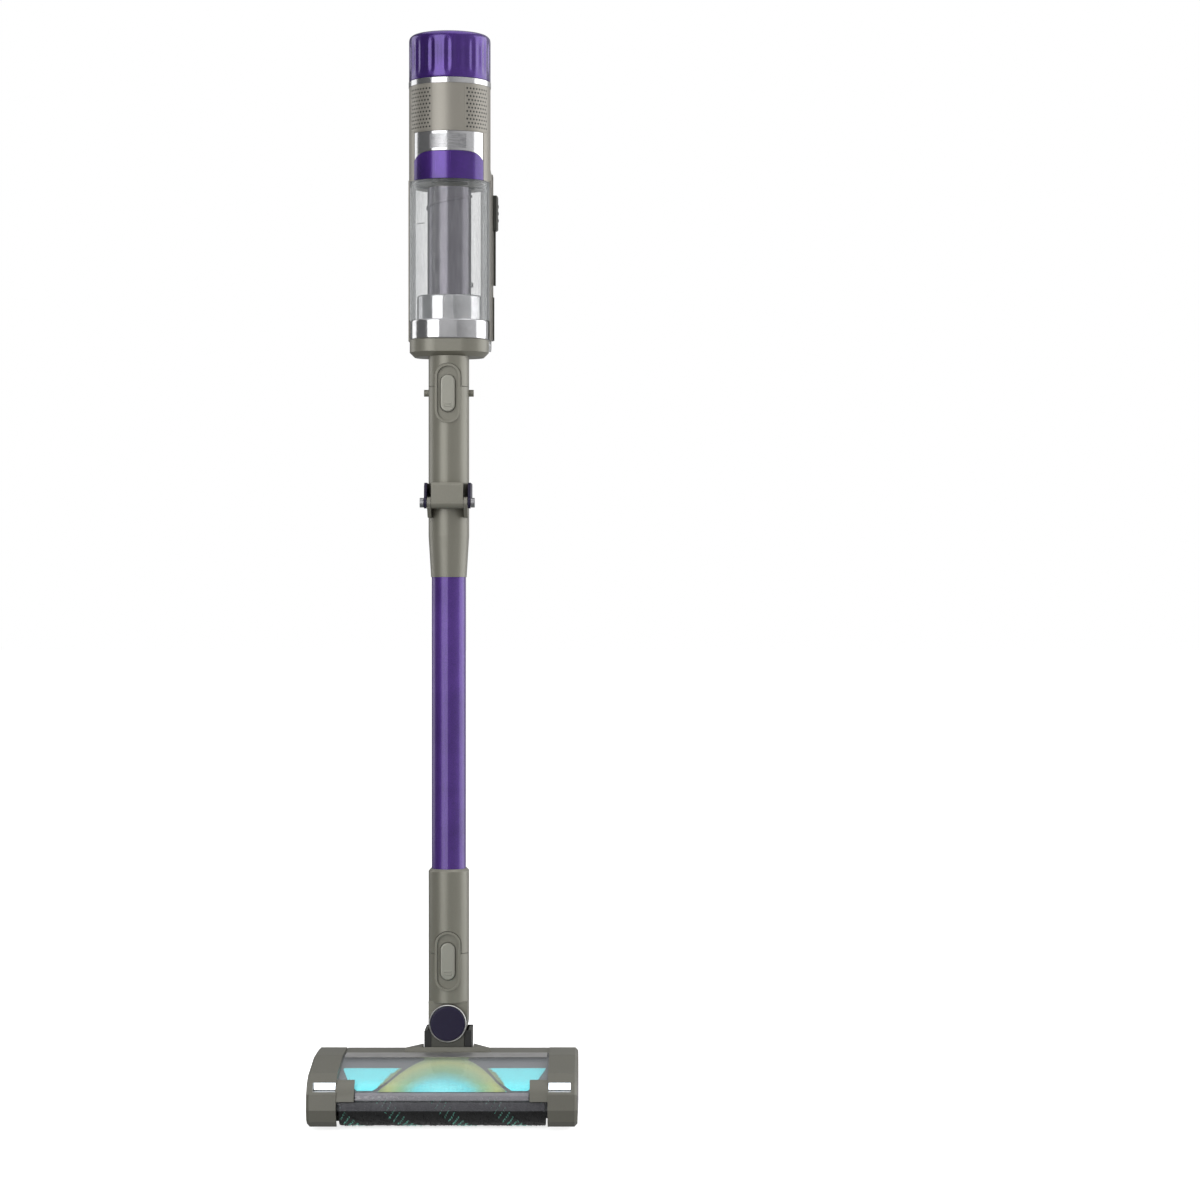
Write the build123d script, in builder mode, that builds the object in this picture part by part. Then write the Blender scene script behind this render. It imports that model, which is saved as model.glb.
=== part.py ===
"""Cordless stick vacuum: floor nozzle, folding wand and hand-held vacuum, all standing upright.

Millimetres. +Z is up, -Y is the front of the nozzle, +X is the right side seen from the front.
The origin is on the floor, under the middle of the bounding box. The wand's axis is the
vertical line x = 0, y = WAND_Y, and every "depth" below is measured backwards from it.
"""
from build123d import *
import math
import os

# ---- Driving dimensions -------------------------------------------------------------
NOSE_REACH = 155.5          # nozzle front to wand axis
GRIP_REACH = 222.0          # wand axis to the back of the handle
WAND_Y = (NOSE_REACH - GRIP_REACH) / 2
GAP = 0.4                   # play between bodies
AIRWAY_R = 15.5             # round air passage through neck, wand and hand-held

# Floor nozzle
NOZZLE_HALF = 136.0         # half of the nozzle's width
BAY_HALF = 106.0            # half of the width between the side housings
NOZZLE_TOP = 63.0
BRUSH_R = 22.5
BRUSH_DEPTH = -124.0        # brush axis, in front of the wand axis
BRUSH_Z = 23.0
BRUSH_HALF = 104.0
WINDOW_R = 28.5             # window's outer radius over the brush
WINDOW_T = 2.4
WHEEL_R = 24.0
WHEEL_DEPTH = 42.0
WHEEL_X = 76.0
WHEEL_W = 15.0

# Neck
PITCH_Z = 38.0              # recline axis, along X
STEER_Z = 92.0              # steering axis, along Y
FORK_IN = 21.0              # inside face of the fork plates, in depth
KNUCKLE_R = 20.4
SEAM_LOW = 164.0            # ankle to wand seam

# Wand
SHELL_W, SHELL_D = 42.0, 54.0      # taupe tube section
TUBE_W, TUBE_D = 35.5, 45.0        # purple tube section
TUBE_WALL = 1.6
COLLAR_TOP = 252.0
TUBE_TOP = 557.0
FOLD_Z = 634.0              # fold axis, along X
FOLD_DEPTH = -36.0
CUFF_TOP = 655.0
SEAM_HIGH = 756.0           # wand to hand-held seam

# Hand-held vacuum
NECK_TOP = 788.0
COLLAR_H = 18.0
CUP_LOW = 806.0
CUP_TOP = 973.0
FLOOR_Z = 827.0             # cup's floor
CUP_W, CUP_D = 86.0, 124.0
CUP_FRONT = -23.0
CUP_MID = CUP_FRONT + CUP_D / 2
CUP_WALL = 2.4
DUCT_R = 23.0
HOUSING_R = 43.0
HOUSING_MID = CUP_FRONT + HOUSING_R
HOUSING_TOP = 1073.0
CAP_LOW = 1079.0
CAP_TOP = 1128.0
BLOCK_TOP = 1142.0
HANDLE_HALF = 15.0
BATTERY_SLOPE = 20.0        # degrees that the battery arm rises to the back
GRIP_SLOPE = 15.0           # the same for the grip

os.makedirs("parts", exist_ok=True)


# ---- Shared shapes ------------------------------------------------------------------
def oval_prism(width, depth, z_low, z_high, middle=0.0, mode=Mode.ADD):
    """Upright prism with a round-ended section, its middle that deep behind the wand axis."""
    with BuildSketch(Plane.XY.offset(z_low)) as profile:
        with Locations((0, WAND_Y + middle)):
            RectangleRounded(width, depth, min(width, depth) / 2 - 0.1)
    extrude(profile.sketch, amount=z_high - z_low, mode=mode)


def round_prism(radius, z_low, z_high, middle=0.0, x=0.0, mode=Mode.ADD):
    """Upright cylinder."""
    with BuildSketch(Plane.XY.offset(z_low)) as profile:
        with Locations((x, WAND_Y + middle)):
            Circle(radius)
    extrude(profile.sketch, amount=z_high - z_low, mode=mode)


def block(x_span, depth_span, z_span, mode=Mode.ADD):
    """Box between two limits on each axis."""
    with BuildSketch(Plane.XY.offset(z_span[0])) as profile:
        with Locations((sum(x_span) / 2, WAND_Y + sum(depth_span) / 2)):
            Rectangle(x_span[1] - x_span[0], depth_span[1] - depth_span[0])
    extrude(profile.sketch, amount=z_span[1] - z_span[0], mode=mode)


def bar_x(radius, x_span, depth, z, mode=Mode.ADD):
    """Cylinder along X."""
    with BuildSketch(Plane.YZ.offset(x_span[0])) as profile:
        with Locations((WAND_Y + depth, z)):
            Circle(radius)
    extrude(profile.sketch, amount=x_span[1] - x_span[0], mode=mode)


def bar_y(radius, depth_span, z, x=0.0, mode=Mode.ADD):
    """Cylinder along Y."""
    with BuildSketch(Plane.XZ.offset(-(WAND_Y + depth_span[1]))) as profile:
        with Locations((x, z)):
            Circle(radius)
    extrude(profile.sketch, amount=depth_span[1] - depth_span[0], mode=mode)


def pill_y(width, height, depth_span, z, mode=Mode.ADD):
    """Upright pill shape with its flat faces to the front and back."""
    with BuildSketch(Plane.XZ.offset(-(WAND_Y + depth_span[1]))) as profile:
        with Locations((0, z)):
            RectangleRounded(width, height, width / 2 - 0.1)
    extrude(profile.sketch, amount=depth_span[1] - depth_span[0], mode=mode)


def side_profile(x_span, points, mode=Mode.ADD):
    """Straight-sided outline of (depth, z) points, extruded along X."""
    with BuildSketch(Plane.YZ.offset(x_span[0])) as profile:
        with BuildLine():
            Polyline(*[(WAND_Y + d, z) for d, z in points], close=True)
        make_face()
    extrude(profile.sketch, amount=x_span[1] - x_span[0], mode=mode)


def save(builder, name):
    builder.part.label = name
    export_step(builder.part, f"parts/{name}.step")


# ---- Floor nozzle: fixed pieces -----------------------------------------------------
def window_angle_point(radius, degrees):
    """Point on a circle round the brush axis; 0 is straight ahead, 90 straight up."""
    a = math.radians(degrees)
    return (WAND_Y + BRUSH_DEPTH - radius * math.cos(a), BRUSH_Z + radius * math.sin(a))


SLOPE_TOP = -62.0           # depth where the window's slope meets the flat top
WINDOW_BACK = -34.0
LIP_ANGLE = -4.0            # degrees round the brush where the window's front edge is
TANGENT = 80.0              # degrees round the brush where the slope leaves the arc
GUIDE_T = 1.2               # lit plates under the window
GUIDE_R = WINDOW_R - WINDOW_T - 0.4
GUIDE_TOP = NOZZLE_TOP - WINDOW_T - 0.4
HOOD_R = GUIDE_R - GUIDE_T - 0.1
HOOD_TOP = GUIDE_TOP - GUIDE_T - 0.1
HOOD_ANGLE = 30.0           # degrees round the brush where the hood's front edge is


def window_outline(outer_r, top, first):
    """Open line over the brush, from that angle, and back along the top of the nozzle."""
    start = window_angle_point(outer_r, first)
    middle = window_angle_point(outer_r, (first + TANGENT) / 2)
    end = window_angle_point(outer_r, TANGENT)
    ThreePointArc(start, middle, end)
    Polyline(end, (WAND_Y + SLOPE_TOP, top), (WAND_Y + WINDOW_BACK, top))


def window_sheet(x_span, outer_r, top, thickness, first=LIP_ANGLE):
    """Bent sheet: the outline thickened inwards."""
    inner_r, low = outer_r - thickness, top - thickness
    with BuildSketch(Plane.YZ.offset(x_span[0])) as profile:
        with BuildLine():
            window_outline(outer_r, top, first)
            window_outline(inner_r, low, first)
            Line(window_angle_point(outer_r, first), window_angle_point(inner_r, first))
            Line((WAND_Y + WINDOW_BACK, top), (WAND_Y + WINDOW_BACK, low))
        make_face()
    extrude(profile.sketch, amount=x_span[1] - x_span[0])


with BuildPart() as nozzle_window:
    window_sheet((-BAY_HALF + 0.2, BAY_HALF - 0.2), WINDOW_R, NOZZLE_TOP, WINDOW_T)
save(nozzle_window, "nozzle_window")

CHASSIS_HALF = BAY_HALF - 0.2
CHASSIS_BACK = 16.0
BOSS_IN, BOSS_OUT = 27.0, 34.0      # neck bearing blocks
ARM_IN, ARM_OUT = 56.0, 66.0        # wheel arms
PITCH_PIN_R = 5.0
AXLE_R = 3.0
with BuildPart() as nozzle_chassis:
    block((-CHASSIS_HALF, CHASSIS_HALF), (-98, CHASSIS_BACK), (5, 8.5))
    window_sheet((-CHASSIS_HALF, CHASSIS_HALF), HOOD_R, HOOD_TOP, 1.3, HOOD_ANGLE)
    block((-CHASSIS_HALF, CHASSIS_HALF), (-98, -95), (5, 51.6))
    for side in (-1, 1):
        near, far = sorted((side * ARM_IN, side * ARM_OUT))
        side_profile((near, far), [(-20, 8), (14, 8), (52, 16), (52, 32), (14, 44), (-20, 30)])
        near, far = sorted((side * BOSS_IN, side * BOSS_OUT))
        side_profile((near, far), [(-16, 8), (16, 8), (12, 50), (-12, 50)])
        near, far = sorted((side * ARM_OUT, side * CHASSIS_HALF))
        block((near, far), (CHASSIS_BACK - 3, CHASSIS_BACK), (8, 38))
    bar_x(PITCH_PIN_R + 0.05, (-BOSS_OUT, BOSS_OUT), 0, PITCH_Z, mode=Mode.SUBTRACT)
    bar_x(AXLE_R, (-ARM_OUT, ARM_OUT), WHEEL_DEPTH, WHEEL_R, mode=Mode.SUBTRACT)
    block((-BOSS_IN, BOSS_IN), (-2, CHASSIS_BACK + 1), (4, 9), mode=Mode.SUBTRACT)
save(nozzle_chassis, "nozzle_chassis")

NECK_SLOT = 26.4
with BuildPart() as nozzle_top_cover:
    side_profile((-CHASSIS_HALF, CHASSIS_HALF),
                 [(WINDOW_BACK + 0.2, NOZZLE_TOP), (2, NOZZLE_TOP), (14, 57), (19.5, 46), (19.5, 39),
                  (16.6, 39), (16.6, 45), (12, 54.5), (1, NOZZLE_TOP - 3),
                  (WINDOW_BACK + 0.2, NOZZLE_TOP - 3)])
    with BuildSketch(Plane.XY.offset(NOZZLE_TOP - 1)):
        with Locations((0, WAND_Y - 12)):
            Trapezoid(92, 36, 60)
    extrude(amount=5.5, taper=18)
    block((-NECK_SLOT, NECK_SLOT), (-27.5, 40), (30, 80), mode=Mode.SUBTRACT)
    for side in (-1, 1):
        near, far = sorted((side * (ARM_IN - 0.4), side * (ARM_OUT + 0.4)))
        side_profile((near, far), [(-21, 7), (14, 7), (52, 15), (52, 33), (14, 44.5), (-21, 30.5)],
                     mode=Mode.SUBTRACT)
save(nozzle_top_cover, "nozzle_top_cover")

SIDE_OUTLINE = [(-143, 4), (-152, 10), (-155.5, 22), (-154, 38), (-145, 49), (-130, 56),
                (-64, 65), (-10, 65), (10, 58), (20, 44), (20, 12), (12, 4)]


def side_housing(side):
    """End housing of the nozzle; side is -1 for left and 1 for right."""
    near, far = sorted((side * BAY_HALF, side * NOZZLE_HALF))
    inner = sorted((side * BAY_HALF, side * (NOZZLE_HALF - 4)))
    with BuildPart() as housing:
        side_profile((near, far), SIDE_OUTLINE)
        outer_face = housing.faces().sort_by(Axis.X)[-1 if side > 0 else 0]
        chamfer(outer_face.edges(), 3)
        bar_x(BRUSH_R + 2, inner, BRUSH_DEPTH, BRUSH_Z, mode=Mode.SUBTRACT)
        block(inner, (-112, 14), (8, 50), mode=Mode.SUBTRACT)
        # window for the corner lamp
        lamp = sorted((side * 106, side * 129.4))
        block(lamp, (-160, -100), (40, 48.4), mode=Mode.SUBTRACT)
        # cheek that laps over the window's lower corner
        lap = sorted((side * 88, side * (BAY_HALF + 1)))
        with BuildSketch(Plane.YZ.offset(lap[0])):
            with BuildLine():
                outer, inside = WINDOW_R + 2.6, WINDOW_R + 0.3
                ThreePointArc(*[window_angle_point(outer, a) for a in (14, 38, 62)])
                ThreePointArc(*[window_angle_point(inside, a) for a in (14, 38, 62)])
                for a in (14, 62):
                    Line(window_angle_point(outer, a), window_angle_point(inside, a))
            make_face()
        extrude(amount=lap[1] - lap[0])
    return housing


side_housing_left = side_housing(-1)
save(side_housing_left, "side_housing_left")
side_housing_right = side_housing(1)
with BuildPart() as right_with_cap_seat:
    add(side_housing_right.part)
    with BuildSketch(Plane.YZ.offset(NOZZLE_HALF - 2.5)):
        with Locations((WAND_Y - 108, 32)):
            Ellipse(36, 21.5)
    extrude(amount=4, mode=Mode.SUBTRACT)
save(right_with_cap_seat, "side_housing_right")

with BuildPart() as brush_end_cap:
    with BuildSketch(Plane.YZ.offset(NOZZLE_HALF - 2.5)):
        with Locations((WAND_Y - 108, 32)):
            Ellipse(35.6, 21.1)
    extrude(amount=2.5)
    fillet(brush_end_cap.faces().sort_by(Axis.X)[-1].edges(), 1.6)
save(brush_end_cap, "brush_end_cap")

with BuildPart() as corner_lamps:
    for side in (-1, 1):
        lamp = sorted((side * 106.4, side * 129))
        block(lamp, (-138, -134.5), (40.4, 48))
save(corner_lamps, "corner_lamps")

# lit plates between the hood and the window: a dome in the middle, a fan at each end
with BuildPart() as light_guides:
    with BuildSketch(Plane.XZ.offset(-WAND_Y)):
        with BuildLine():
            ThreePointArc((65, 39), (0, 61.5), (-65, 39))
            Line((-65, 39), (65, 39))
        make_face()
        for side in (-1, 1):
            with BuildLine():
                Polyline((side * 44, 54.5), (side * 103, 54.5), (side * 86, 40), (side * 70, 40), close=True)
            make_face()
    extrude(amount=200)
    with BuildPart(mode=Mode.INTERSECT):
        window_sheet((-104, 104), GUIDE_R, GUIDE_TOP, GUIDE_T, HOOD_ANGLE)
save(light_guides, "light_guides")

MOTOR_DEPTH, MOTOR_Z, MOTOR_R = -60.0, 28.0, 15.0
with BuildPart() as brush_motor:
    bar_x(MOTOR_R, (-98, -38), MOTOR_DEPTH, MOTOR_Z)
    block((-90, -46), (MOTOR_DEPTH - 10, MOTOR_DEPTH + 10), (8.7, 16))
save(brush_motor, "brush_motor")

BELT_X = (-122.0, -112.0)
BRUSH_PULLEY_R, MOTOR_PULLEY_R = 14.0, 7.0
BELT_T = 1.5


def belt_loop(extra, mode=Mode.ADD):
    """Flat belt's outline round both pulleys, that far outside them."""
    run = MOTOR_DEPTH - BRUSH_DEPTH
    rise = MOTOR_Z - BRUSH_Z
    span = math.hypot(run, rise)
    tilt = math.atan2(rise, run)
    lean = math.acos((BRUSH_PULLEY_R - MOTOR_PULLEY_R) / span)
    big, small = BRUSH_PULLEY_R + extra, MOTOR_PULLEY_R + extra

    def rim(radius, depth, z, angle):
        return (WAND_Y + depth + radius * math.cos(angle), z + radius * math.sin(angle))

    up, down = tilt + lean, tilt - lean
    with BuildSketch(Plane.YZ.offset(BELT_X[0])) as profile:
        with BuildLine():
            front = [rim(big, BRUSH_DEPTH, BRUSH_Z, a) for a in (up, tilt + math.pi, down)]
            back = [rim(small, MOTOR_DEPTH, MOTOR_Z, a) for a in (up, tilt, down)]
            ThreePointArc(*front)
            ThreePointArc(*back)
            Line(front[0], back[0])
            Line(front[-1], back[-1])
        make_face()
    extrude(profile.sketch, amount=BELT_X[1] - BELT_X[0], mode=mode)


with BuildPart() as drive_belt:
    belt_loop(BELT_T)
    belt_loop(0.05, mode=Mode.SUBTRACT)
save(drive_belt, "drive_belt")

with BuildPart() as glide_pads:
    for side in (-1, 1):
        near, far = sorted((side * 40, side * 96))
        block((near, far), (-93, -81), (0, 5))
save(glide_pads, "glide_pads")

with BuildPart() as nozzle_screws:
    for x in (-84, 84):
        for depth in (-70, -8):
            round_prism(3.2, 2.6, 5, depth, x)
            with Locations((x, WAND_Y + depth, 2.6)):
                Cylinder(1.4, 1.2, align=(Align.CENTER, Align.CENTER, Align.MIN), mode=Mode.SUBTRACT)
save(nozzle_screws, "nozzle_screws")

# ---- Floor nozzle: turning pieces ---------------------------------------------------
BRUSH_TUBE_R = 15.0
with BuildPart() as brush_core:
    bar_x(BRUSH_TUBE_R, (-BRUSH_HALF, BRUSH_HALF), BRUSH_DEPTH, BRUSH_Z)
    bar_x(5, (-126, 126), BRUSH_DEPTH, BRUSH_Z)
    bar_x(BRUSH_PULLEY_R, BELT_X, BRUSH_DEPTH, BRUSH_Z)
save(brush_core, "brush_core")

with BuildPart() as brush_pile:
    bar_x(BRUSH_R, (-BRUSH_HALF, BRUSH_HALF), BRUSH_DEPTH, BRUSH_Z)
    bar_x(BRUSH_TUBE_R, (-BRUSH_HALF, BRUSH_HALF), BRUSH_DEPTH, BRUSH_Z, mode=Mode.SUBTRACT)
save(brush_pile, "brush_pile")

with BuildPart() as motor_pulley:
    bar_x(MOTOR_PULLEY_R, BELT_X, MOTOR_DEPTH, MOTOR_Z)
    bar_x(2, (-112, -98.2), MOTOR_DEPTH, MOTOR_Z)
save(motor_pulley, "motor_pulley")

for side, hand in ((-1, "left"), (1, "right")):
    span = sorted((side * (WHEEL_X - WHEEL_W / 2), side * (WHEEL_X + WHEEL_W / 2)))
    dish = sorted((side * (WHEEL_X + 4), side * (WHEEL_X + WHEEL_W / 2)))
    with BuildPart() as hub:
        bar_x(WHEEL_R - 5, span, WHEEL_DEPTH, WHEEL_R)
        bar_x(AXLE_R + 0.08, span, WHEEL_DEPTH, WHEEL_R, mode=Mode.SUBTRACT)
        bar_x(WHEEL_R - 8, dish, WHEEL_DEPTH, WHEEL_R, mode=Mode.SUBTRACT)
        bar_x(6.5, dish, WHEEL_DEPTH, WHEEL_R)
        bar_x(AXLE_R + 0.08, span, WHEEL_DEPTH, WHEEL_R, mode=Mode.SUBTRACT)
    save(hub, f"wheel_hub_{hand}")
    with BuildPart() as tyre:
        bar_x(WHEEL_R, span, WHEEL_DEPTH, WHEEL_R)
        chamfer(tyre.edges().filter_by(GeomType.CIRCLE), 1.2)
        bar_x(WHEEL_R - 5, span, WHEEL_DEPTH, WHEEL_R, mode=Mode.SUBTRACT)
    save(tyre, f"wheel_tyre_{hand}")

with BuildPart() as wheel_axles:
    for side in (-1, 1):
        stub = sorted((side * ARM_IN, side * (WHEEL_X + WHEEL_W / 2 + 0.5)))
        bar_x(AXLE_R, stub, WHEEL_DEPTH, WHEEL_R)
        head = sorted((side * (WHEEL_X + WHEEL_W / 2 + 0.5), side * (WHEEL_X + WHEEL_W / 2 + 2)))
        bar_x(4.5, head, WHEEL_DEPTH, WHEEL_R)
save(wheel_axles, "wheel_axles")

# ---- Neck: reclines on the nozzle ---------------------------------------------------
YOKE_HALF = 24.5
CHEEK_TOP = 84.0
FORK_T = 5.0
FORK_R = 17.0
DRUM_R = 23.0
STEER_PIN_R = 5.0
with BuildPart() as neck_yoke:
    bar_x(DRUM_R, (-YOKE_HALF, YOKE_HALF), 0, PITCH_Z)
    block((-YOKE_HALF, YOKE_HALF), (-FORK_IN, FORK_IN), (PITCH_Z + 8, 69))
    for side in (-1, 1):
        near, far = sorted((side * (FORK_IN + 0.2), side * YOKE_HALF))
        block((near, far), (-16, 16), (66, CHEEK_TOP))
        front, back = sorted((side * FORK_IN, side * (FORK_IN + FORK_T)))
        bar_y(FORK_R, (front, back), STEER_Z)
        block((-FORK_R, FORK_R), (front, back), (52, STEER_Z))
    bar_y(STEER_PIN_R + 0.05, (-30, 30), STEER_Z, mode=Mode.SUBTRACT)
    bar_y(KNUCKLE_R + GAP, (-FORK_IN, FORK_IN), STEER_Z, mode=Mode.SUBTRACT)
    round_prism(AIRWAY_R, 20, 80, mode=Mode.SUBTRACT)
    for side in (-1, 1):
        near, far = sorted((side * (AIRWAY_R + 1), side * BOSS_OUT))
        bar_x(PITCH_PIN_R, (near, far), 0, PITCH_Z)
save(neck_yoke, "neck_yoke")

with BuildPart() as yoke_guards:
    for side in (-1, 1):
        near, far = sorted((side * (FORK_R + 0.2), side * YOKE_HALF))
        for end in (-1, 1):
            front, back = sorted((end * (FORK_IN + 0.1), end * (FORK_IN + FORK_T - 1)))
            block((near, far), (front, back), (52, CHEEK_TOP))
save(yoke_guards, "yoke_guards")

with BuildPart() as pivot_caps:
    for side in (-1, 1):
        front, back = sorted((side * (FORK_IN + FORK_T), side * (FORK_IN + FORK_T + 4)))
        bar_y(18, (front, back), STEER_Z)
        shown = pivot_caps.faces().sort_by(Axis.Y)[0 if side < 0 else -1]
        fillet(shown.edges(), 1.5)
save(pivot_caps, "pivot_caps")

with BuildPart() as neck_hose:
    round_prism(AIRWAY_R - 1.5, 62, 112)
    round_prism(AIRWAY_R - 3, 61, 113, mode=Mode.SUBTRACT)
save(neck_hose, "neck_hose")

# ---- Ankle: swings in the neck's fork and plugs into the wand ------------------------
BEZEL_DROP = 7.5            # bezel's middle below its seam
BEZEL_W, BEZEL_H = 27.0, 62.0
POCKET_W, POCKET_H = 22.0, 57.0
BUTTON_W, BUTTON_H = 15.5, 39.0
FACE = -SHELL_D / 2         # front face of the taupe tubes, in depth


def button_bezel(seam, front=FACE):
    """Raised pill round a release button, part above the seam, with a pocket for the button."""
    middle = seam - BEZEL_DROP
    pill_y(BEZEL_W, BEZEL_H, (front - 0.8, front + 6), middle)
    pill_y(POCKET_W, POCKET_H, (front - 3, front + 2.6), middle, mode=Mode.SUBTRACT)
    pill_y(BUTTON_W + 2 * GAP, BUTTON_H + 2 * GAP, (front - 3, front + 4.8), middle, mode=Mode.SUBTRACT)


def bezel_notch(seam, front=FACE):
    """Matching cut in the tube above the seam."""
    pill_y(BEZEL_W + 2 * GAP, BEZEL_H + 2 * GAP, (front - 3, front + 6 + GAP), seam - BEZEL_DROP,
           mode=Mode.SUBTRACT)


def release_button(seam, front=FACE):
    """Pill button with a raised thumb pad at its foot."""
    middle = seam - BEZEL_DROP
    with BuildPart() as button:
        pill_y(BUTTON_W, BUTTON_H, (front - 0.9, front + 2.2), middle)
        fillet(button.faces().sort_by(Axis.Y)[0].edges(), 1.6)
        with Locations((0, WAND_Y + front - 0.6, middle - BUTTON_H / 2 + 6)):
            Box(8, 1.6, 1.4)
            with Locations((0, 0, 3)):
                Box(8, 1.6, 1.4)
    return button


SPIGOT_RISE = 26.0          # how far a spigot stands into the next tube


def spigot(seam):
    """Tube that stands up out of a seam into the next piece, bored for the air."""
    round_prism(AIRWAY_R, seam - 1, seam + SPIGOT_RISE)
    round_prism(AIRWAY_R - 2, seam - 3, seam + SPIGOT_RISE + 1, mode=Mode.SUBTRACT)


with BuildPart() as ankle_shell:
    oval_prism(SHELL_W, SHELL_D, 113, SEAM_LOW - GAP / 2)
    bar_y(KNUCKLE_R, (-FORK_IN + GAP, FORK_IN - GAP), STEER_Z)
    block((-KNUCKLE_R, KNUCKLE_R), (-FORK_IN + GAP, FORK_IN - GAP), (STEER_Z, 114))
    button_bezel(SEAM_LOW)
    for side in (-1, 1):
        front, back = sorted((side * (AIRWAY_R + 1), side * (FORK_IN + FORK_T - 0.3)))
        bar_y(STEER_PIN_R, (front, back), STEER_Z)
    round_prism(AIRWAY_R, 60, SEAM_LOW - 3, mode=Mode.SUBTRACT)
    spigot(SEAM_LOW)
save(ankle_shell, "ankle_shell")

lower_release_button = release_button(SEAM_LOW)
save(lower_release_button, "lower_release_button")

# ---- Wand: plugs onto the ankle and carries the fold hinge --------------------------
SOCKET_R = AIRWAY_R + 0.3
with BuildPart() as wand_lower_collar:
    oval_prism(SHELL_W, SHELL_D, SEAM_LOW + GAP / 2, COLLAR_TOP)
    rim = wand_lower_collar.faces().sort_by(Axis.Z)[-1]
    chamfer(rim.edges(), 2.6)
    round_prism(SOCKET_R, SEAM_LOW - 1, COLLAR_TOP + 1, mode=Mode.SUBTRACT)
    oval_prism(TUBE_W, TUBE_D, COLLAR_TOP - 16, COLLAR_TOP + 1, mode=Mode.SUBTRACT)
    bezel_notch(SEAM_LOW)
save(wand_lower_collar, "wand_lower_collar")

with BuildPart() as wand_tube:
    oval_prism(TUBE_W, TUBE_D, COLLAR_TOP - 16, TUBE_TOP + 16)
    oval_prism(TUBE_W - 2 * TUBE_WALL, TUBE_D - 2 * TUBE_WALL, COLLAR_TOP - 17, TUBE_TOP + 17,
               mode=Mode.SUBTRACT)
save(wand_tube, "wand_tube")

FOLD_PIN_R = 3.0
LUG_IN, LUG_OUT = 17.0, 20.9
BAND_HALF = 16.6
BAND_FRONT = FOLD_DEPTH - 6
TAPER_TOP = 600.0
with BuildPart() as wand_upper_collar:
    with BuildSketch(Plane.XY.offset(TUBE_TOP)):
        with Locations((0, WAND_Y)):
            RectangleRounded(TUBE_W + 1.4, TUBE_D + 1.4, (TUBE_W + 1.4) / 2 - 0.1)
    with BuildSketch(Plane.XY.offset(TAPER_TOP)):
        with Locations((0, WAND_Y)):
            RectangleRounded(SHELL_W, SHELL_D, SHELL_W / 2 - 0.1)
    loft()
    oval_prism(SHELL_W, SHELL_D, TAPER_TOP, FOLD_Z - GAP / 2)
    for side in (-1, 1):
        near, far = sorted((side * LUG_IN, side * LUG_OUT))
        side_profile((near, far), [(FOLD_DEPTH - 4, FOLD_Z - 5), (-27, 619), (-10, 619),
                                   (-10, FOLD_Z - 1), (FOLD_DEPTH, FOLD_Z - 1)])
        bar_x(6, (near, far), FOLD_DEPTH, FOLD_Z)
        bar_x(FOLD_PIN_R, (near, far), FOLD_DEPTH, FOLD_Z, mode=Mode.SUBTRACT)
    round_prism(SOCKET_R, TUBE_TOP - 1, FOLD_Z + 1, mode=Mode.SUBTRACT)
    oval_prism(TUBE_W, TUBE_D, TUBE_TOP - 1, TUBE_TOP + 16, mode=Mode.SUBTRACT)
    # ledge that the fold latch's nose sits on
    block((-9, 9), (24, 31), (600, 606))
save(wand_upper_collar, "wand_upper_collar")

with BuildPart() as fold_pin:
    bar_x(FOLD_PIN_R, (-27, 27), FOLD_DEPTH, FOLD_Z)
    for side in (-1, 1):
        near, far = sorted((side * 24.6, side * 28.5))
        bar_x(5, (near, far), FOLD_DEPTH, FOLD_Z)
save(fold_pin, "fold_pin")

# ---- Upper wand: folds forward over the wand ----------------------------------------
CUFF_IN, CUFF_OUT = 21.4, 24.2
LATCH_PIN_Z, LATCH_DEPTH = 694.0, 33.5
with BuildPart() as upper_wand_shell:
    oval_prism(SHELL_W, SHELL_D, FOLD_Z + GAP / 2, SEAM_HIGH - GAP / 2)
    # band that hides the fold pin
    side_profile((-BAND_HALF, BAND_HALF),
                 [(BAND_FRONT, FOLD_Z + 1), (BAND_FRONT, CUFF_TOP - 3), (BAND_FRONT + 3, CUFF_TOP),
                  (-10, CUFF_TOP), (-10, FOLD_Z + 1)])
    bar_x(6, (-BAND_HALF, BAND_HALF), FOLD_DEPTH, FOLD_Z)
    bar_x(FOLD_PIN_R + 0.05, (-BAND_HALF, BAND_HALF), FOLD_DEPTH, FOLD_Z, mode=Mode.SUBTRACT)
    button_bezel(SEAM_HIGH)
    for side in (-1, 1):
        near, far = sorted((side * 18, side * 26))
        bar_x(3.6, (near, far), 0, SEAM_HIGH - 6)
        near, far = sorted((side * 10.5, side * 13.5))
        side_profile((near, far), [(22, 684), (36, 690), (36, 698), (22, 706)])
    bar_x(1.5, (-13.5, 13.5), LATCH_DEPTH, LATCH_PIN_Z)
    round_prism(SOCKET_R, FOLD_Z, 700, mode=Mode.SUBTRACT)
    round_prism(AIRWAY_R, 699, SEAM_HIGH - 3, mode=Mode.SUBTRACT)
    spigot(SEAM_HIGH)
save(upper_wand_shell, "upper_wand_shell")

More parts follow.
